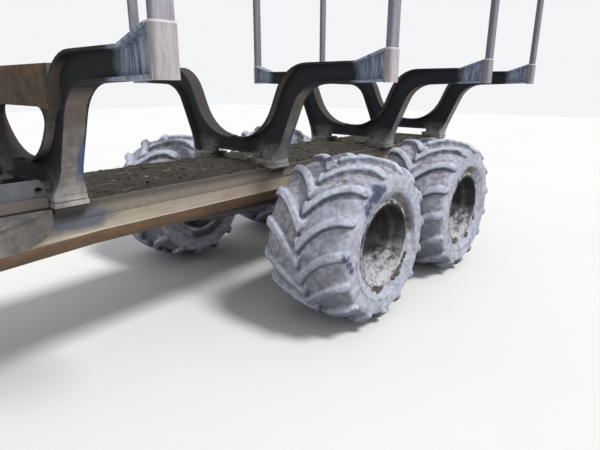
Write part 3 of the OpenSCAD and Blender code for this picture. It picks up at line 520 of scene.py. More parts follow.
def bunk_dress(centre_x):
    """Dust on the outer faces, blue paint at their rear edge, painted shade on the inner faces, and pale
    worn sockets with painted shade on their forward faces.
    """
    def dress(f):
        across = f.across()
        height = f.along("Z")
        ahead = f.plain("SUBTRACT", f.along("X"), centre_x)
        outward = f.plain("MULTIPLY", f.facing("Y"), f.plain("SIGN", f.along("Y")))
        outer = f.band(outward, 0.35, 0.75)
        runs = f.noise(42, detail=8, rough=0.75, stretch=(1, 1, 0.14), shift=3.0)
        film = f.mix((f.patches, 0.35, 0.62), (0.125, 0.115, 0.100), (0.27, 0.25, 0.222))
        film = f.mix((height, above(1.35), above(1.50), 0.0, 0.66), film, (0.105, 0.072, 0.046))
        f.lay(film, outer, f.frayed(ahead, 0.035, 18, -0.050, -0.040), (f.grit, 0.2, 0.5, 0.7, 0.97))
        f.lay(BLUE_PAINT, outer, (height, above(1.14), above(1.21)), (height, above(1.43), above(1.33)),
              f.frayed(ahead, 0.03, 18, -0.012, -0.030), 0.85)
        pale = f.mix((f.patches, 0.4, 0.62), DUST_GREY, (0.42, 0.39, 0.37))
        patina = f.mix((f.scratch, 0.45, 0.6), pale, (0.20, 0.24, 0.235))
        pale = f.mix((height, above(1.12), above(1.20)), pale, patina)
        f.lay(pale, f.frayed(height, 0.14, 11, above(1.24), above(1.11)), (across, 0.2, 0.3),
              (outward, -0.5, 0.2, 0.35, 1.0))
        f.lay(INNER_SHADE, (outward, -0.15, -0.5), 0.8)
        near, far = (1.03, 1.12) if centre_x == bunk_x["bunk_1"] else (1.11, 1.18)
        gusset = f.both(f.frayed(across, 0.10, 12, near, far), (outward, 0.8, 0.4))
        f.lay(f.mix((runs, 0.38, 0.60), (0.090, 0.120, 0.185), (0.45, 0.50, 0.62)), gusset, 0.85)
        f.lay(FLECKS, gusset, (f.scratch, 0.63, 0.68))
        worn = f.mix((runs, 0.36, 0.62), (0.33, 0.29, 0.29), (0.50, 0.465, 0.485))
        worn = f.mix((f.scratch, 0.64, 0.72), worn, (0.20, 0.13, 0.11))
        # Painted shade on the socket faces that look forward.
        worn = f.mix((f.facing("X"), 0.55, 0.95, 0.0, 0.45), worn, (0.15, 0.135, 0.15))
        worn = f.mix(0.45 if centre_x < AXLE_X + 0.5 else 0.0, worn, (0.12, 0.12, 0.145))
        f.lay(worn, f.frayed(across, 0.006, 25, SOCKET_IN - 0.002, SOCKET_IN + 0.002), 0.95)
        f.lay(WORN_EDGE, (across, SOCKET_IN - 0.004, SOCKET_IN),
              (height, SOCKET_TOP - 0.010, SOCKET_TOP - 0.006))
    return dress


def crossbeam_dress(f):
    """Bunk 1's crossbeam is a box that bark has rubbed brown, with rust along its upper edge."""
    bunk_dress(bunk_x["bunk_1"])(f)
    height = f.along("Z")
    brown = f.mix((f.patches, 0.38, 0.62), (0.064, 0.042, 0.027), (0.150, 0.098, 0.056))
    brown = f.mix((f.scratch, 0.60, 0.68), brown, (0.24, 0.18, 0.13))
    upper = f.both((f.scratch, 0.50, 0.56), (height, above(1.68), above(1.73)))
    brown = f.mix(upper, brown, (0.30, 0.12, 0.05))
    f.lay(brown, f.between(height, above(1.53), above(1.745)), (f.across(), 0.55, 0.49),
          (f.plain("ABSOLUTE", f.facing("X")), 0.4, 0.8), 0.95)


print("sockets begin %.3f from the middle plane" % SOCKET_IN)

# %% [markdown]
# Stakes, rails and doublers are rubbed each time the machine is loaded. On a stake the
# scratches run upright, so its noise is stretched along Z. The rail shows a dull strip over a
# dark gap, and the doubler a pale brow plate. Each is a few layers over the shared paint.

# %% Dress of the stakes, the rails and the doublers


def stake_dress(f):
    """Pale wear in upright scratches, painted shade on the faces that look forward, and a little darker from
    bunk to bunk towards the rear.
    """
    runs = f.noise(46, detail=9, rough=0.8, stretch=(1, 1, 0.07), shift=5.0)
    worn = f.mix((runs, 0.36, 0.62), (0.19, 0.175, 0.200), (0.46, 0.430, 0.49))
    worn = f.mix((f.scratch, 0.64, 0.73), worn, (0.15, 0.085, 0.065))
    # Painted shade on the faces that look forward.
    worn = f.mix((f.facing("X"), 0.35, 0.90, 0.0, 0.5), worn, (0.10, 0.095, 0.125))
    for front, back, tint in (("bunk_1", "bunk_2", (0.085, 0.088, 0.125)),
                              ("bunk_2", "bunk_3", (0.070, 0.075, 0.110))):
        worn = f.mix((f.along("X"), bunk_x[front] - 0.5, bunk_x[back] + 0.5, 0.0, 0.35), worn, tint)
    f.lay(worn, 0.9)


def rail_dress(f):
    """The strip along the rail's foot is rubbed to a dull brown primer over a dark gap."""
    height = f.along("Z")
    f.lay((0.120, 0.093, 0.083), (f.across(), BEAM_SIDE - 0.02, BEAM_SIDE - 0.012),
          (height, DECK, DECK + 0.012), (height, DECK + 0.066, DECK + 0.055), 0.85)


def doubler_dress(f):
    """Warm grey dust on the doubler, a pale brow plate, and paler towards the doubler's lower edge as
    painted light beyond the shade under the brow.
    """
    f.lay(f.mix((f.patches, 0.36, 0.62), (0.085, 0.075, 0.066), (0.21, 0.19, 0.172)), 0.85)
    f.lay(f.mix((f.patches, 0.38, 0.60), (0.080, 0.077, 0.073), (0.185, 0.180, 0.175)),
          (f.across(), BEAM_SIDE - 0.0035, BEAM_SIDE - 0.0015), 0.85)
    # Paler towards the doubler's lower edge: painted light beyond the shade under the brow plate.
    f.lay((0.30, 0.25, 0.20), f.frayed(f.along("Z"), 0.05, 14, DECK - 0.20, DECK - 0.26), 0.5)


print("doublers end %.3f from the middle plane" % BEAM_SIDE)

# %% [markdown]
# In a rim the upper mud is dark and clotted, and the lowest has dried pale; the upper part of the rim itself
# is painted near black as shade, with drips of mud. It could be painted by hand on each wheel, but heights
# that are measured from the wheel's centre put it right on all four. Bark has the same tone as the litter on
# the deck, and both are darkened in part as painted shade.

# %% Dress of the mud, the bark and the rims


def mud_dress(f):
    """Dark clotted mud above, dried pale mud in the lowest part of the rim."""
    height = f.plain("SUBTRACT", f.along("Z"), wheel["fl"]["centre"].z)
    torn = f.noise(21, detail=8, rough=0.75, shift=17.0)
    pale = f.band(f.plain("SUBTRACT", torn, f.plain("MULTIPLY", height, 0.9)), 0.60, 0.68)
    f.lay(f.mix((f.scratch, 0.42, 0.60), (0.055, 0.046, 0.044), (0.19, 0.172, 0.172)),
          (pale, 1.0, 0.0, 0.0, 0.96))


def bark_dress(f):
    f.lay(litter_and_shade_tone(f), 0.95)


RIM_UPPER_SHADE = (0.007, 0.006, 0.007)
RIM_DRIPS = (0.20, 0.19, 0.205)
RIM_EDGE = (0.46, 0.43, 0.41)


def rim_dress(end):
    """Painted shade, near black, above with drips of mud, pale dried mud below, and a rubbed bright edge."""
    centre, side = wheel[end]["centre"], wheel[end]["side"]

    def dress(f):
        height = f.plain("SUBTRACT", f.along("Z"), centre.z)
        out = f.plain("MULTIPLY", f.plain("SUBTRACT", f.along("Y"), centre.y), side)
        drips = f.noise(24, detail=8, rough=0.75, stretch=(1, 0.5, 0.12), shift=2.0)
        chipped = f.noise(15, detail=5, rough=0.7, shift=8.0)
        low = f.frayed(height, 0.20, 9, -0.02, -0.15)
        # Painted shade: the upper part of the rim is laid near black.
        f.lay(RIM_UPPER_SHADE, f.frayed(height, 0.10, 12, 0.02, 0.14, 0.0, 0.92))
        f.lay(RIM_DRIPS, (drips, 0.47, 0.62), (height, 0.12, -0.05))
        f.lay(f.mix((f.patches, 0.38, 0.58), (0.17, 0.15, 0.155), (0.60, 0.59, 0.62)), low, 0.95)
        f.lay(MUD_DARK, low, (f.scratch, 0.54, 0.60))
        f.lay(RIM_EDGE, (f.away(centre, (1, 0, 1)), RIM_R - 0.016, RIM_R - 0.011),
              (out, RIM_W / 2 - 0.013, RIM_W / 2 - 0.006), (chipped, 0.44, 0.56), 0.85)
    return dress


print("rim edge at radius %.3f" % RIM_R)

# %% [markdown]
# Every finish is made once, under its slot's name, from three tones and a few shares. Some
# pieces have a dress of their own, and each solid then gets its finish. Single materials
# typed out in full would do the same, but here a new tone is one changed row.

# %% Make the finishes and give them to the solids
BUNK_PAINT = {"paint": (0.009, 0.010, 0.016), "dust": (0.030, 0.029, 0.033), "rust": RUST,
              "cover": 0.30, "settle": 0.75, "gloss": 0.78, "rust_share": 0.1}
RIM_PAINT = {"paint": (0.030, 0.026, 0.024), "dust": (0.13, 0.115, 0.11), "rust": RUST,
             "cover": 0.45, "settle": 0.3, "rust_share": 0.35}
finishes = {"tyre_muddy": tyre_finish}


def paint(name, *tones, **options):
    finishes[name] = dusty_paint(name, *tones, **options)


paint("yoke_paint", (0.10, 0.10, 0.105), DUST_GREY, RUST, cover=0.55)
paint("frame_grey", GREY_PAINT, GREY_DUST, RUST, dress=rail_dress)
paint("beam_dusty", (0.13, 0.10, 0.08), DUST_TAN, RUST_PALE, cover=0.85,
      rust_share=0.6, streak=(0.25, 1, 1), dress=beam_dress)
paint("gate_paint", (0.06, 0.06, 0.07), DUST_GREY, RUST, cover=0.4)
paint("bunk_dark", dress=bunk_dress(bunk_x["bunk_3"]), **BUNK_PAINT)
paint("stake_worn", (0.13, 0.11, 0.12), (0.42, 0.37, 0.38), RUST,
      cover=0.7, streak=(1, 1, 0.12), rust_share=0.4, dress=stake_dress)
paint("axle_cast", (0.06, 0.058, 0.065), (0.24, 0.225, 0.225), RUST, cover=0.8, settle=0.8)
paint("bearing_steel", (0.09, 0.085, 0.085), DUST_GREY, RUST,
      cover=0.35, gloss=0.42, rust_share=0.6)
paint("rim_muddy", (0.055, 0.045, 0.04), (0.34, 0.32, 0.33), RUST,
      cover=0.9, settle=0.85, rust_share=0.2)
paint("lamp_red", (0.25, 0.012, 0.01), DUST_GREY, (0.12, 0.01, 0.01), cover=0.45, gloss=0.25)
paint("bark", NEEDLES_IN_SHADE, (0.06, 0.05, 0.037), (0.05, 0.03, 0.018), cover=0.3, settle=0.2,
      gloss=0.95, grain=2.5, dress=bark_dress)
paint("straw", (0.30, 0.25, 0.16), (0.36, 0.31, 0.22), (0.16, 0.11, 0.06),
      settle=0.2, gloss=0.85, grain=2.5)
paint("clods", (0.062, 0.053, 0.050), (0.165, 0.145, 0.142), (0.03, 0.025, 0.022),
      cover=0.55, settle=0.8, gloss=0.95, grain=2.0)
paint("mud_dry", (0.36, 0.345, 0.37), (0.60, 0.59, 0.62), (0.16, 0.13, 0.115),
      cover=0.7, settle=0.3, gloss=0.95, grain=1.6, rust_share=0.4, dress=mud_dress)
own_finish = {name: dusty_paint("bunk_dark_" + name[-1], dress=bunk_dress(bunk_x[name]), **BUNK_PAINT)
              for name in ("bunk_2", "bunk_4")}
own_finish["bunk_1"] = dusty_paint("bunk_dark_1", dress=crossbeam_dress, **BUNK_PAINT)
own_finish["side_doublers"] = dusty_paint("doubler_dusty", GREY_PAINT, GREY_DUST, RUST, dress=doubler_dress)
for end in END_NAMES:
    own_finish["rim_" + end] = dusty_paint("rim_muddy_" + end, dress=rim_dress(end), **RIM_PAINT)
slot_of = {entry["node"]: entry["material_slot"] for entry in record["subparts"]}
for name, solid in nodes.items():
    solid.data.materials.clear()
    solid.data.materials.append(own_finish.get(name, finishes[slot_of[name]]))
print("finishes:", len(finishes) + len(own_finish))

# %% [markdown]
# A tyre is a round body, so its surface is a grid: one way round the wheel, the other across
# from bead to bead. The lugs are a height on that grid. If the grid's lines run straight
# across, a slanting lug gets a ragged edge, so the lines are bent to follow the lugs, and
# they stand close where a lug's wall is. That gives crisp walls from few faces.

# %% Measures of the tyre
LUGS_A_SIDE = 15
PITCH = 2 * math.pi / LUGS_A_SIDE
LUG_HALF = math.radians(3.9)
LUG_HEIGHT = 0.045
LUG_SWEEP = math.radians(24.3)
SWEEP_REACH = 1.024 * TYRE_W / 2
LUG_FIRST = math.radians(6.0)
LUG_STEP = math.radians(21.2)
SHARE_AT = (-0.0176, 0.007, 0.045, 0.090, 0.176, 0.267, 0.341)
SHARE_OF = (1.16, 1.24, 1.14, 0.99, 0.90, 0.95, 1.04)
NOSE_OVER = 0.004
NOSE_LENGTH = 0.024
NOSE_SKEW = 0.24
TAIL_R = 0.512
TAIL_LENGTH = 0.034
BULGE_R = 0.445
BEAD_R = RIM_R - 0.018
BEAD_HALF = RIM_W / 2 - 0.0115
SECTION_POWER = 2.5
WALL_STEPS = (1.2, 2.2, 3.0, 3.6, 4.1, 4.6, 5.0, 5.5)
LAST_STEP = 4.6
HALF_STEP = 6.0
print("lugs:", 2 * LUGS_A_SIDE, "with a pitch of %.1f degrees" % math.degrees(PITCH))

# %% [markdown]
# Across the tyre runs the casing's section, a rounded square: nearly flat under the lugs, with
# full sidewalls that turn in to the beads. A drawn outline would do, but a formula lets the
# rows lie closer together towards the outer side, which shows most.

# %% Section of the casing


def swell(value, power):
    """One coordinate of a rounded square."""
    return np.sign(value) * np.abs(value) ** (2.0 / power)


def smooth(value, low, high):
    """From 0 to 1 with soft ends while the value goes from low to high."""
    t = np.clip((value - low) / (high - low), 0, 1)
    return t * t * (3 - 2 * t)


def hump(value, half):
    """A soft rise around 0."""
    return np.exp(-(value / half) ** 2)


CASING_SHARE = 0.985
LOWER_REACH = 0.26
CASING_END = 0.022
CLOSE_ROWS = (0.20, 0.32)


def tyre_section(rows):
    """Across and radius along the casing from the inner bead to the outer one."""
    angle = np.radians(np.linspace(-40, 220, 4000))[::-1]
    across = TYRE_W / 2 * CASING_SHARE * swell(np.cos(angle), SECTION_POWER)
    crown = TYRE_R - LUG_HEIGHT - BULGE_R
    reach = np.where(np.sin(angle) >= 0, crown, LOWER_REACH)
    radius = BULGE_R + reach * swell(np.sin(angle), SECTION_POWER)
    keep = radius > BEAD_R + CASING_END
    across, radius = across[keep], radius[keep]
    step = np.hypot(np.diff(across), np.diff(radius))
    close = 1 + 1.1 * smooth(across[1:], *CLOSE_ROWS)
    length = np.concatenate([[0], np.cumsum(step * close)])
    even = np.linspace(0, length[-1], rows)
    return np.interp(even, length, across), np.interp(even, length, radius)


print("crown radius %.3f" % (TYRE_R - LUG_HEIGHT))

# %% [markdown]
# Fifteen lugs a side lead in the middle, bend towards the shoulder and end above the sidewall.
# Each point of the grid is asked how far it lies from the nearest lug, and from that come its height, the
# mud that is banked up beside the lug and a painted shadow line at the foot of the lug's lower wall. Lugs as
# single solids would have to be joined on, and wouldn't blend with worn rubber.

# %% Shape of the lugs


def sweep(across):
    t = np.clip(np.abs(across) / SWEEP_REACH, 0, 1)
    return LUG_SWEEP * (1 - (1 - t) ** 2)


def lug_share(across):
    return np.interp(across, SHARE_AT, SHARE_OF)


def column_angles(across):
    """Angles of one row, close together where the walls of the two rows of lugs stand."""
    share = lug_share(np.abs(across))[:, None]
    steps = np.array(sorted([0.0] + list(WALL_STEPS) + [-s for s in WALL_STEPS]))[None, :]
    size = np.abs(steps)
    last = LAST_STEP * share
    beyond = last + (HALF_STEP - last) * (size - LAST_STEP) / (HALF_STEP - LAST_STEP)
    bent = np.sign(steps) * np.where(size <= LAST_STEP, size * share, beyond)
    halves = np.arange(2 * LUGS_A_SIDE) * 2 * HALF_STEP
    return np.radians((halves[None, :, None] + bent[:, None, :]).reshape(len(across), -1))


LUG_EDGE = 1.16
FOOT_RISE = 0.06
FOOT_FADE = 0.22
BANK_RISE = 0.26
BANK_FADE = 0.40
LINE_AT = 1.02
LINE_HALF = 0.17


def lug_shape(turn, across, theta, radius):
    """How far a point stands up, 0 in a valley and 1 on a lug; the mud on upper walls; the painted shadow
    line at the foot of a lower wall."""
    best = np.zeros(turn.shape)
    fill = np.zeros(turn.shape)
    under = np.zeros(turn.shape)
    tail = np.clip((TAIL_R - radius) / TAIL_LENGTH, 0, None)
    for outboard in (True, False):
        w = across if outboard else -across
        start = 0.0 if outboard else PITCH / 2
        gap = (turn - start + PITCH / 2) % PITCH - PITCH / 2
        nose = np.clip((NOSE_OVER - w - NOSE_SKEW * gap * radius) / NOSE_LENGTH, 0, None)
        far = np.hypot(gap / (LUG_HALF * lug_share(w)), nose + tail)
        rise = (1 - np.clip(far / LUG_EDGE, 0, 1) ** 4.5) ** 0.62
        there = nose < 1.3
        beyond = np.clip(far - 1.0, 0, None)
        foot = FOOT_RISE * np.exp(-beyond / FOOT_FADE)
        upward = np.clip(np.sign(gap) * np.cos(theta), 0, 1)
        bank = BANK_RISE * upward * np.exp(-beyond / BANK_FADE)
        # The lower wall is the side away from the light, and the line at its foot is painted shadow.
        lower = np.clip(-np.sign(gap) * np.cos(theta - 0.5), 0, 1) ** 0.5
        line = lower * hump(far - LINE_AT, LINE_HALF)
        best = np.maximum(best, np.where(there, np.maximum(rise, foot), 0))
        fill = np.maximum(fill, np.where(there, bank, 0))
        under = np.maximum(under, np.where(there, line, 0))
    return best, fill, under


print("share of a lug's width at the middle %.2f" % lug_share(0.0))

# %% [markdown]
# Worn rubber is never even. Low noise makes the casing wavy, finer noise chips the lugs, and
# the lugs end on the shoulder above the sidewall, which dips into a groove beside the rim.
# Mud banks up on the side of each lug that looks up, so only the other side stays crisp.
# The right wheels are the mirror image, so all noses lead when the machine rolls on.

# %% Points of a tyre
ROWS = 146
GROOVE_DEPTH = 0.040
GROOVE_EDGE_R = 0.374
GROOVE_FOOT_R = 0.303
GROOVE_OPEN = {"fl": math.radians(92), "rl": math.radians(35),
               "fr": math.radians(200), "rr": math.radians(300)}
CREASE_R = 0.392
CREASE_HALF = 0.007
RIDGE_IN = 0.012
RIDGE_HALF = 0.009
SIDE_FROM = 0.2
LUGS_END = (0.330, 0.3455)
LUGS_LOWER = (0.27, 0.33)
WALL_FROM = (0.315, 0.345)
WITHIN = 0.0005


def around(w, r, theta):
    """Points of a wheel from across, radius and angle."""
    return np.stack([r * np.cos(theta), w, r * np.sin(theta)], -1).reshape(-1, 3)


def wander(points, scale, seed):
    return np.array([noise.noise(Vector(p) * scale + Vector((seed, seed * 2, 0))) for p in points])


def groove_at(radius):
    """1 in the groove between the sidewall and the rim's edge, 0 beyond it."""
    foot = smooth(radius - GROOVE_FOOT_R, 0.0, 0.016)
    return smooth(GROOVE_EDGE_R - radius, 0.0, 0.030) * (0.35 + 0.65 * foot)


def tyre_points(end, seed):
    """Across, radius and angle of each point of the grid, and its marks for the finish."""
    across, radius = tyre_section(ROWS)
    grid_u = column_angles(across)
    grid_w = np.repeat(across[:, None], grid_u.shape[1], 1)
    grid_r = np.repeat(radius[:, None], grid_u.shape[1], 1)
    tangent_w, tangent_r = np.gradient(across), np.gradient(radius)
    size = np.hypot(tangent_w, tangent_r)
    normal_w = (-tangent_r / size)[:, None]
    normal_r = (tangent_w / size)[:, None]
    theta = LUG_FIRST + seed * LUG_STEP + grid_u + sweep(grid_w)
    lug, fill, under = lug_shape(grid_u, grid_w, theta, grid_r)
    reach = np.abs(grid_w)
    on_side = reach > SIDE_FROM
    fade = (1 - smooth(reach, *LUGS_END)) * smooth(grid_r - BULGE_R, 0.0, 0.03)
    stand = LUG_HEIGHT * (1 - 0.35 * smooth(reach, *LUGS_LOWER))
    base = around(grid_w, grid_r, theta)
    wavy, fine, chips = [wander(base, scale, seed + more).reshape(grid_w.shape)
                         for scale, more in ((5.0, 0), (24.0, 9), (55.0, 23))]
    rise = lug * fade
    height = rise * stand * (1 + 0.10 * wavy + 0.05 * fine)
    height += (1 - rise) * (fill * fade * LUG_HEIGHT + 0.004 * wavy) + 0.0026 * fine
    height -= 0.004 * smooth(chips, 0.15, 0.5) * smooth(rise, 0.3, 0.8) + 0.003
    turned = np.degrees(theta - GROOVE_OPEN[end]) % 360
    clear = 0.22 + 0.78 * smooth(turned, 0, 22) * (1 - smooth(turned, 76, 100))
    groove = groove_at(grid_r) * on_side * clear
    height -= GROOVE_DEPTH * groove * (1 + 0.25 * fine)
    height += 0.004 * hump(grid_r - CREASE_R + RIDGE_IN, RIDGE_HALF) * on_side
    w = np.clip(grid_w + normal_w * height, -TYRE_W / 2 + WITHIN, TYRE_W / 2 - WITHIN)
    r = np.minimum(grid_r + normal_r * height, TYRE_R - WITHIN)
    wall = smooth(reach, *WALL_FROM) * (1 - rise)
    # The groove's mud tone, with painted shade, goes where the groove is open.
    muddy_shaded_groove = groove * smooth(clear, 0.3, 0.8)
    crease = hump(grid_r - CREASE_R, CREASE_HALF) * on_side
    return w, r, theta, dict(zip(TYRE_MARKS, (rise, wall, muddy_shaded_groove, under * fade, crease)))


print("rows from bead to bead:", ROWS)

# %% [markdown]
# The grid becomes a mesh that is closed round the beads, so that no gap shows beside the rim.
# The marks go along with each point as attributes, because the finish reads them there. A
# chain of modifiers could shape it too, but plain arrays build it in one go.

# %% Build the tyres


def build_tyre(end, seed):
    centre, side = wheel[end]["centre"], wheel[end]["side"]
    w, r, theta, marks = tyre_points(end, seed)
    points = around(side * w, r, theta)
    count = theta.shape[1]
    seats = []
    outer, inner = RIM_R + 0.001, BEAD_R + 0.001
    for bead_w, bead_r in ((BEAD_HALF, outer), (BEAD_HALF, inner), (-BEAD_HALF, inner), (-BEAD_HALF, outer)):
        last = theta[-1] if bead_w > 0 else theta[0]
        seats.append(around(np.full(count, side * bead_w), bead_r, last))
    points = np.concatenate([points] + seats) + np.array(centre)
    total = ROWS + len(seats)
    row = np.repeat(np.arange(total), count)
    column = np.tile(np.arange(count), total)
    after = (column + 1) % count
    below = (row + 1) % total
    quads = np.stack([row * count + column, row * count + after,
                      below * count + after, below * count + column], -1)
    if side < 0:
        quads = quads[:, ::-1]
    mesh = bpy.data.meshes.new("tread_" + end)
    mesh.from_pydata(points.tolist(), [], quads.tolist())
    for name, values in marks.items():
        layer = mesh.attributes.new(name, "FLOAT", "POINT")
        full = np.concatenate([values.reshape(-1), np.zeros(count * len(seats))])
        layer.data.foreach_set("value", full.astype(np.float32))
    mesh.polygons.foreach_set("use_smooth", [True] * len(mesh.polygons))
    mesh.materials.append(tyre_finish)
    tyre = add_object("tread_" + end, mesh)
    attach(tyre, wheel[end]["body"])
    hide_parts("tyre_" + end)
    return tyre


tyres = [build_tyre(end, seed) for seed, end in enumerate(END_NAMES)]
print("tyres:", len(tyres), "faces each:", len(tyres[0].data.polygons))

# %% [markdown]
# Real plate has edges that are ground or rubbed round, and they catch the light. The packed
# meshes keep their shape, so this is done with three modifiers: one joins the loose corners
# of the import, one rounds each sharp edge by a few millimetres, and one evens the shading.

# %% Round the edges of the solids
EDGE_ROUND = {"bunk": 3.0, "stakes": 2.0, "gate_frame": 6.0, "gate_bars": 3.0, "frame_beam": 4.0,
              "head_plate": 4.0, "crane": 3.0, "rear_plate": 3.0, "rear_lamps": 6.0, "axle": 5.0,
              "shaft": 4.0, "bogie_case": 7.0, "hub": 4.0, "rim": 2.5, "pivot_yoke": 6.0, "roll": 3.0}


def soften(solid, width):
    weld = solid.modifiers.new("join", "WELD")
    weld.merge_threshold = 0.02 * MM
    rounding = solid.modifiers.new("round_edges", "BEVEL")
    rounding.width = width * MM
    rounding.segments = 2
    rounding.limit_method = "ANGLE"
    rounding.angle_limit = math.radians(32)
    shading = solid.modifiers.new("even_shading", "WEIGHTED_NORMAL")
    shading.weight = 100
    shading.keep_sharp = False


for name, solid in nodes.items():
    for start, width in EDGE_ROUND.items():
        if name.startswith(start):
            soften(solid, width)
            break
print("edges rounded on", sum(1 for s in nodes.values() if s.modifiers))

# %% [markdown]
# Bolts, welds and mud lie on the faces of the solids. Their places could be typed in, but
# then they would float when a size changes. So rays are cast at the solids where a face has
# to be found, and each built mesh is given its body, finish and slot in one call.

# %% Helpers for small pieces


def turned_frame(axis):
    """A turn that brings the Z axis to the given axis."""
    return Vector(axis).normalized().to_track_quat("Z", "Y").to_matrix().to_4x4()


def hit(name, start, direction):
    """Where a ray first meets a solid."""
    solid = nodes[name]
    back = solid.matrix_world.inverted()
    found, place = solid.ray_cast(back @ Vector(start), back.to_3x3() @ Vector(direction))[:2]
    return solid.matrix_world @ place if found else None


def hit_places(name, starts, direction):
    """Where rays meet a solid, each place with the way back along the ray."""
    faces = [hit(name, start, direction) for start in starts]
    return [(face, tuple(-v for v in direction)) for face in faces if face]


def add_mesh(name, body, bm, finish, smooth_angle=35):
    """A built mesh as a piece that rides on a body and has a finish and a slot."""
    mesh = bpy.data.meshes.new(name)
    bm.to_mesh(mesh)
    bm.free()
    piece = add_object(name, mesh)
    mesh.materials.append(finishes[finish])
    mesh.polygons.foreach_set("use_smooth", [True] * len(mesh.polygons))
    mesh.set_sharp_from_angle(angle=math.radians(smooth_angle))
    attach(piece, body)
    return piece


def ring_places(centre, axis, radius, count):
    turn = turned_frame(axis)
    spots = []
    for k in range(count):
        a = 2 * math.pi * k / count
        spots.append((Vector(centre) + turn @ Vector((radius * math.cos(a), radius * math.sin(a), 0)), axis))
    return spots


print("helpers for small pieces ready")

# %% [markdown]
# Bolts hold the roll bearing, the wheels, the cases, the saddles and the rear plate. One
# function makes a hexagon head with a chamfer and a washer at every place of a list and
# joins them in one mesh, because a hundred single objects would only slow everything down.

# %% Bolts
WASHER_THICK = 0.12


def bolt_mesh(bm, place, axis, across, height):
    turn = Matrix.Translation(place) @ turned_frame(axis)

    def cone(segments, low, high, depth, middle):
        return bmesh.ops.create_cone(bm, cap_ends=True, segments=segments, radius1=across * low,
                                     radius2=across * high, depth=depth,
                                     matrix=turn @ Matrix.Translation((0, 0, middle)))

    cone(20, 0.68, 0.66, across * WASHER_THICK, across * WASHER_THICK / 2)
    head = cone(6, 0.577, 0.577, height, across * WASHER_THICK + height / 2)
    top = [e for v in head["verts"] for e in v.link_edges]
    bmesh.ops.bevel(bm, geom=list(set(top)), offset=across * 0.05, segments=1, affect="EDGES")


def bolts(name, body, places, size):
    bm = bmesh.new()
    for place, axis in places:
        bolt_mesh(bm, Vector(place), axis, *size)
    return add_mesh(name, body, bm, "bearing_steel")


# across the flats and height of the head
WHEEL_NUT = (0.032, 0.022)
RING_BOLT = (0.028, 0.014)
CASE_BOLT = (0.022, 0.012)
PLATE_BOLT = (0.026, 0.014)
STUD_CIRCLE_R = 0.1675
STUDS = 10
DISC_IN = 0.040
for end in END_NAMES:
    centre, side = wheel[end]["centre"], wheel[end]["side"]
    disc = centre + Vector((0, -side * DISC_IN, 0))
    bolts("wheel_nuts_" + end, wheel[end]["body"],
          ring_places(disc, (0, side, 0), STUD_CIRCLE_R, STUDS), WHEEL_NUT)

RING_BOLTS = 20
RING_BOLTS_IN = 0.03
ring_low, ring_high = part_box("roll_ring")
ring_middle = (ring_low + ring_high) / 2
ring_face = (ring_high.x, ring_middle.y, ring_middle.z)
ring_radius = (ring_high.z - ring_low.z) / 2 - RING_BOLTS_IN
bolts("ring_bolts", "carriage", ring_places(ring_face, (1, 0, 0), ring_radius, RING_BOLTS), RING_BOLT)

CASE_CIRCLE_R = 0.118
CASE_BOLTS = 12
hub_z = wheel["fl"]["centre"].z
for side, hand in ((1, "left"), (-1, "right")):
    spots = []
    for x in (wheel["fl"]["centre"].x, wheel["rl"]["centre"].x):
        face = hit("bogie_case_" + hand, (x + CASE_CIRCLE_R, 0.2 * side, hub_z), (0, side, 0))
        if face:
            spots += ring_places((x, face.y, hub_z), (0, -side, 0), CASE_CIRCLE_R, CASE_BOLTS)
    bolts("case_bolts_" + hand[0], "bogie_" + hand, spots, CASE_BOLT)

SADDLE_BOLTS_X = (-0.095, -0.032, 0.032, 0.095)
REAR_BOLTS_Y = (-0.33, -0.24, 0.24, 0.33)
spots = []
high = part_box("axle_saddles")[1]
for side in (-1, 1):
    starts = [(AXLE_X + x, 0.5 * side, high.z - 0.03) for x in SADDLE_BOLTS_X]
    spots += hit_places("axle_saddles", starts, (0, -side, 0))
bolts("saddle_bolts", "carriage", spots, PLATE_BOLT)
low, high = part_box("rear_plate")
starts = [(low.x - 0.4, y, z) for y in REAR_BOLTS_Y for z in (low.z + 0.05, high.z - 0.05)]
bolts("rear_bolts", "carriage", hit_places("rear_plate", starts, (1, 0, 0)), PLATE_BOLT)
print("wheel nuts:", STUDS * len(END_NAMES), "saddle bolts:", len(spots))

# %% [markdown]
# Weld beads show where a plate was joined. A bead is a thin rope of small ripples along a
# path. Rays that are cast at a bunk tell where its web, its legs and its foot plates lie, so
# that each bead lies in its corner.

# %% Weld beads


def bead(bm, start, end, radius=0.005, step=0.007):
    """One straight rope of ripples with rounded ends."""
    start, end = Vector(start), Vector(end)
    along = (end - start).normalized()
    turn = turned_frame(along)
    count = max(4, int((end - start).length / step))
    before = None
    for k in range(count + 1):
        at = start.lerp(end, k / count)
        close = min(1.0, 0.25 + 0.5 * k, 0.25 + 0.5 * (count - k))
        size = radius * close * (1.0 + 0.22 * (k % 2) + 0.25 * noise.noise(at * 60))
        ring = []
        for j in range(6):
            a = j * math.pi / 3
            ring.append(bm.verts.new(at + turn @ Vector((size * math.cos(a), size * math.sin(a), 0))))
        for j in range(6):
            if before:
                bm.faces.new((before[j], before[j - 5], ring[j - 5], ring[j]))
        if k == 0:
            bm.faces.new(ring[::-1])
        if k == count:
            bm.faces.new(ring)
        before = ring


WELD_OFF = 0.003
LEG_AT = 0.085
FAR_OUT = 1.2
SOCKET_BEAD = (SOCKET_TOP - 0.025, SOCKET_TOP - 0.165)
FOOT_BEAD_HALF = 0.06
DECK_BEAD_HALF = 0.075


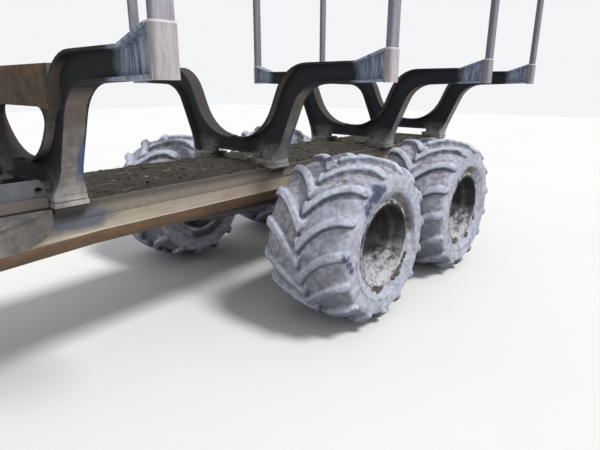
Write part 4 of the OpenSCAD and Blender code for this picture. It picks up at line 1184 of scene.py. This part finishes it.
def bunk_welds(name):
    """Beads at the sockets, on the upper foot plate along the leg and web, and at the deck."""
    bm = bmesh.new()
    x = bunk_x[name]
    for side in (-1, 1):
        socket = SOCKET_IN * side
        for face in (-1, 1):
            web = hit(name, (x + 0.4 * face, socket - 0.012 * side, SOCKET_TOP - 0.10), (-face, 0, 0))
            if web:
                place = web.x + WELD_OFF * face
                bead(bm, (place, socket, SOCKET_BEAD[0]), (place, socket, SOCKET_BEAD[1]))
        leg = hit(name, (x, FAR_OUT * side, DECK + LEG_AT), (0, -side, 0))
        plate = hit(name, (x, leg.y + 0.012 * side, DECK + 0.3), (0, 0, -1)) if leg else None
        if plate:
            z = plate.z + WELD_OFF
            bead(bm, (x - FOOT_BEAD_HALF, leg.y, z), (x + FOOT_BEAD_HALF, leg.y, z), 0.006)
            for face in (-1, 1):
                web = hit(name, (x + 0.4 * face, leg.y - 0.06 * side, plate.z + 0.02), (-face, 0, 0))
                if web:
                    place = web.x + 0.002 * face
                    bead(bm, (place, leg.y - 0.012 * side, z), (place, leg.y - 0.13 * side, z))
        outside = hit(name, (x, FAR_OUT * side, DECK + 0.03), (0, -side, 0))
        if outside:
            y, z = outside.y - 0.010 * side, DECK + 0.002
            bead(bm, (x - DECK_BEAD_HALF, y, z), (x + DECK_BEAD_HALF, y, z), 0.004)
    return add_mesh("welds_" + name, "carriage", bm, "bunk_dark")


BOX_END = 0.492
welds = [bunk_welds(name) for name in BUNKS]
bm = bmesh.new()
for side in (-1, 1):
    beam = hit("bunk_1", (bunk_x["bunk_1"] + 0.5, 0.50 * side, above(1.64)), (-1, 0, 0))
    place = beam.x + 0.001
    bead(bm, (place, BOX_END * side, above(1.55)), (place, BOX_END * side, above(1.73)), 0.006)
welds.append(add_mesh("welds_crossbeam", "carriage", bm, "bunk_dark"))
print("weld faces:", sum(len(w.data.polygons) for w in welds))

# %% [markdown]
# Mud has dried in the dished rims: a thick crust lies in the lower third of each and thins
# out up the sides. It is a grid on the barrel's inner face, one way round the wheel and the
# other outwards, lifted by noise. A bump in the rim's finish would be quicker, but it would
# leave the rim's outline bare.

# %% Mud in the rims
MUD_LANES = ((0.045, 0.251), (0.180, 0.251), (0.225, 0.275), (0.270, 0.275), (0.304, 0.275))
MUD_SPAN = math.radians(68)
MUD_DEEP = 0.046
MUD_ROWS = 26
MUD_COLUMNS = 84


def rim_mud(end, seed):
    """The crust's grid, closed by a second skin that lies on the barrel."""
    centre = wheel[end]["centre"]
    side = wheel[end]["side"]
    lane_w, lane_r = zip(*MUD_LANES)
    outs = np.linspace(lane_w[0], lane_w[-1], MUD_ROWS)
    turns = np.linspace(-MUD_SPAN, MUD_SPAN, MUD_COLUMNS)
    points = []
    for w in outs:
        barrel = np.interp(w, lane_w, lane_r)
        for turn in turns:
            spot = Vector((turn * barrel, w, seed * 3.0))
            lumps = noise.noise(spot * 9) + 0.6 * noise.noise(spot * 26) + 0.35 * abs(noise.noise(spot * 70))
            shape = max(0.0, math.cos(turn / MUD_SPAN * math.pi / 2)) ** 0.8
            outer = min(1.0, (lane_w[-1] - w) / 0.05 + 0.12)
            thick = MUD_DEEP * shape * outer * (0.62 + 0.55 * lumps) - 0.002
            r = barrel - max(-0.0006, thick)
            points.append((r * math.sin(turn), w, -r * math.cos(turn)))
    count, rows = len(turns), len(outs)
    skin = len(points)
    for w in (outs[0], outs[-1]):
        barrel = np.interp(w, lane_w, lane_r) + 0.0003
        points += [(barrel * math.sin(turn), w, -barrel * math.cos(turn)) for turn in turns]
    faces = []
    for j in range(rows - 1):
        for k in range(count - 1):
            a = j * count + k
            faces.append((a, a + 1, a + count + 1, a + count))
    for k in range(count - 1):
        faces.append((skin + k, skin + k + 1, k + 1, k))
        a = (rows - 1) * count + k
        faces.append((a, a + 1, skin + count + k + 1, skin + count + k))
        faces.append((skin + count + k, skin + count + k + 1, skin + k + 1, skin + k))
    bm = bmesh.new()
    verts = [bm.verts.new(centre + Vector((x, side * w, z))) for x, w, z in points]
    for face in faces:
        bm.faces.new([verts[i] for i in face])
    bmesh.ops.recalc_face_normals(bm, faces=bm.faces)
    return add_mesh("rim_mud_" + end, wheel[end]["body"], bm, "mud_dry", 70)


print("crust over %.0f degrees each way" % math.degrees(MUD_SPAN))

# %% [markdown]
# A few torn clods hang on in the groove beside the rim. To sculpt them would take long, so
# each is a ball of facets that noise dents, and a clump is one clod with some half as large.

# %% Clods beside the rims


def lump(bm, centre, size, squash, seed):
    """A torn clod: a ball of facets, dented by noise."""
    made = bmesh.ops.create_icosphere(bm, subdivisions=2, radius=1.0)
    for vert in made["verts"]:
        p = vert.co.copy()
        broad, fine = p * 1.3 + Vector((seed, 0, 0)), p * 4 + Vector((0, seed, 0))
        dent = 1 + 0.45 * noise.noise(broad) + 0.28 * noise.noise(fine)
        vert.co = Vector((p.x * squash[0], p.y * squash[1], p.z * squash[2])) * size * dent + centre


CLOD_SIZE = (0.013, 0.031)
CLODS = {"fl": (-152, -146, -139, -127, -121, -116, -84, -78, -73, -66, 168, 24),
         "rl": (-120, -112, -70, -62, -150, 12),
         "fr": (-100, -92, -45, -130, 150), "rr": (-80, -88, -140, -30)}
CLODS_A_CLUMP = 4


def rim_clods(end):
    """Clumps at the given angles, each of one clod and some half as large."""
    centre, side = wheel[end]["centre"], wheel[end]["side"]
    chance = random.Random(len(CLODS[end]))
    bm = bmesh.new()
    for k in range(CLODS_A_CLUMP * len(CLODS[end])):
        a = math.radians(CLODS[end][k // CLODS_A_CLUMP] + chance.uniform(-4.5, 4.5))
        r = RIM_R + chance.uniform(-0.004, 0.034)
        size = chance.uniform(*CLOD_SIZE) * (1.0 if k % CLODS_A_CLUMP == 0 else 0.5)
        out = side * (RIM_W / 2 + chance.uniform(-0.004, 0.008))
        place = centre + Vector((r * math.cos(a), out, r * math.sin(a)))
        lump(bm, place, size, (chance.uniform(0.7, 1.4), 0.5, chance.uniform(0.7, 1.4)), k * 3.1)
    return add_mesh("rim_clods_" + end, wheel[end]["body"], bm, "clods", 50)


mud = [rim_mud(end, seed) for seed, end in enumerate(END_NAMES)] + [rim_clods(end) for end in END_NAMES]
print("mud faces:", sum(len(m.data.polygons) for m in mud))

# %% [markdown]
# The deck between the bunks carries a bed of bark crumbs and needles, a low heap with a torn
# edge. Thousands of crumbs could be strewn for it, but noise that lifts a flat grid gives
# the same heap from far fewer faces.

# %% Bed of litter on the deck
BED_STEP = 0.013
BED_HALF = 0.385
BED_FROM = AXLE_X - 1.95
BED_TO = AXLE_X + 2.33


def bed_height(x, y):
    spot = Vector((x, y, 0))
    edge = BED_HALF + 0.022 * noise.noise(spot * 9) - abs(y)
    rise = 0.017 + 0.016 * noise.noise(spot * 4) + 0.009 * noise.noise(spot * 17)
    rise += 0.006 * noise.noise(spot * 55)
    return rise * min(1.0, max(-0.3, edge / 0.05))


def litter_bed():
    bm = bmesh.new()
    xs = np.arange(BED_FROM, BED_TO, BED_STEP)
    ys = np.linspace(-BED_HALF - 0.02, BED_HALF + 0.02, 62)
    grid = [[bm.verts.new((x, y, DECK + bed_height(x, y) - 0.0015)) for y in ys] for x in xs]
    for j in range(len(xs) - 1):
        for k in range(len(ys) - 1):
            bm.faces.new((grid[j][k], grid[j + 1][k], grid[j + 1][k + 1], grid[j][k + 1]))
    return add_mesh("litter_bed", "carriage", bm, "bark", 180)


print("bed from x %.2f to %.2f" % (BED_FROM, BED_TO))

# %% [markdown]
# Loose chips of bark and thin straws lie on the bed this way and that. A particle system
# could strew them, but one seeded generator lets them fall the same way in every run.

# %% Chips and straws
CHIPS = 620
STRAWS = 230
litter_chance = random.Random(11)


def on_bed(reach):
    x = litter_chance.uniform(BED_FROM, BED_TO)
    y = litter_chance.uniform(-reach, reach)
    return Vector((x, y, DECK + max(0.001, bed_height(x, y))))


def chip(bm, place):
    """A flake of bark: a torn outline of five to seven corners with some thickness."""
    length = litter_chance.uniform(0.006, 0.024)
    width = length * litter_chance.uniform(0.25, 0.6)
    turn = Matrix.Rotation(litter_chance.uniform(0, math.pi), 3, "Z") @ Matrix.Rotation(
        litter_chance.uniform(-0.5, 0.5), 3, "X")
    corners = litter_chance.randint(5, 7)
    outline = []
    for k in range(corners):
        a = 2 * math.pi * k / corners
        torn = litter_chance.uniform(0.7, 1.15)
        outline.append(Vector((length * torn * math.cos(a), width * torn * math.sin(a), 0)))
    thick = Vector((0, 0, litter_chance.uniform(0.0015, 0.004)))
    lower = [bm.verts.new(place + turn @ p) for p in outline]
    upper = [bm.verts.new(place + turn @ (p * 0.85 + thick)) for p in outline]
    bm.faces.new(upper)
    bm.faces.new(lower[::-1])
    for k in range(corners):
        bm.faces.new((lower[k - 1], lower[k], upper[k], upper[k - 1]))


STALK_SIDES = 3
STALK_RINGS = 6


def straw(bm, place):
    """A thin bent stalk with three sides."""
    length = litter_chance.uniform(0.03, 0.13)
    yaw = litter_chance.uniform(0, 2 * math.pi)
    lift = litter_chance.uniform(-0.05, 0.28)
    bend = litter_chance.uniform(-0.9, 0.9)
    radius = litter_chance.uniform(0.0006, 0.0014)
    at = place + Vector((0, 0, radius))
    before = None
    for k in range(STALK_RINGS):
        heading = yaw + bend * k / 5
        ring = []
        for j in range(STALK_SIDES):
            flat = radius * math.cos(j * 2.094)
            offset = (-math.sin(heading) * flat, math.cos(heading) * flat, radius * math.sin(j * 2.094))
            ring.append(bm.verts.new(at + Vector(offset)))
        if before:
            for j in range(STALK_SIDES):
                bm.faces.new((before[j - 1], before[j], ring[j], ring[j - 1]))
        else:
            bm.faces.new(ring[::-1])
        before = ring
        rise = lift * (1 - k / 2.5)
        at = at + Vector((math.cos(heading), math.sin(heading), rise)) * length / 5
    bm.faces.new(before)


def scatter(name, maker, count, finish, reach=BED_HALF):
    bm = bmesh.new()
    for _ in range(count):
        maker(bm, on_bed(reach))
    return add_mesh(name, "carriage", bm, finish)


litter = [litter_bed(), scatter("bark_chips", chip, CHIPS, "bark"),
          scatter("pale_chips", chip, CHIPS // 8, "straw"), scatter("straws", straw, STRAWS, "straw", 0.36)]
print("litter faces:", sum(len(piece.data.polygons) for piece in litter))

# %% [markdown]
# The floor is plain and pale, and the light is a soft studio sky with one broad lamp from
# above, as on the overcast day in the picture. The backdrop is white only for what looks at
# it, the camera or a shiny or clear face, so it never throws more light on the machine.

# %% Floor and light
FLOOR_SIZE = 60
SUN_FROM = (-0.12, 0.55, 0.83)
SUN_POWER = 2.6
SUN_WIDTH = math.radians(14)
SKY_TONE = (0.93, 0.96, 1.0, 1)
SKY_POWER = 0.55
BACKDROP_TONE = (0.90, 0.91, 0.92, 1)


def make_floor():
    mesh = bpy.data.meshes.new("floor")
    h = FLOOR_SIZE / 2
    corners = [(x, y, GROUND) for x, y in ((-h, -h), (h, -h), (h, h), (-h, h))]
    mesh.from_pydata(corners, [], [(0, 1, 2, 3)])
    floor = add_object("floor", mesh)
    f = Finish("floor_pale", 0.95)
    f.tone = f.mix(f.noise(0.6), (0.78, 0.77, 0.75), (0.84, 0.83, 0.81))
    mesh.materials.append(f.done())
    floor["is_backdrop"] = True
    return floor


def make_light():
    """A dim sky that lights the machine, the white backdrop that is seen, and the lamp."""
    world = bpy.data.worlds.new("studio")
    bpy.context.scene.world = world
    world.use_nodes = True
    tree = world.node_tree
    tree.nodes.clear()
    path = add_node(tree, "ShaderNodeLightPath").outputs
    seen = path["Is Camera Ray"]
    for kind in ("Is Glossy Ray", "Is Transmission Ray"):
        seen = add_node(tree, "ShaderNodeMath", {0: seen, 1: path[kind]}, operation="MAXIMUM").outputs[0]
    sky = add_node(tree, "ShaderNodeBackground", {"Color": SKY_TONE, "Strength": SKY_POWER})
    backdrop = add_node(tree, "ShaderNodeBackground", {"Color": BACKDROP_TONE, "Strength": 1.0})
    both = add_node(tree, "ShaderNodeMixShader", {0: seen, 1: sky.outputs[0], 2: backdrop.outputs[0]})
    add_node(tree, "ShaderNodeOutputWorld", {0: both.outputs[0]})
    data = bpy.data.lights.new("sky_lamp", "SUN")
    data.energy = SUN_POWER
    data.angle = SUN_WIDTH
    lamp = add_object("sky_lamp", data)
    lamp.rotation_euler = Vector(SUN_FROM).to_track_quat("Z", "Y").to_euler()


floor = make_floor()
make_light()
bpy.context.scene.view_settings.view_transform = "Standard"
print("floor and light ready")

# %% [markdown]
# Last, the size of the box round the dressed model, without the floor, is printed.

# %% Sizes and finish
low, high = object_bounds()
print("visual box:", [round(v, 3) for v in (high - low)])
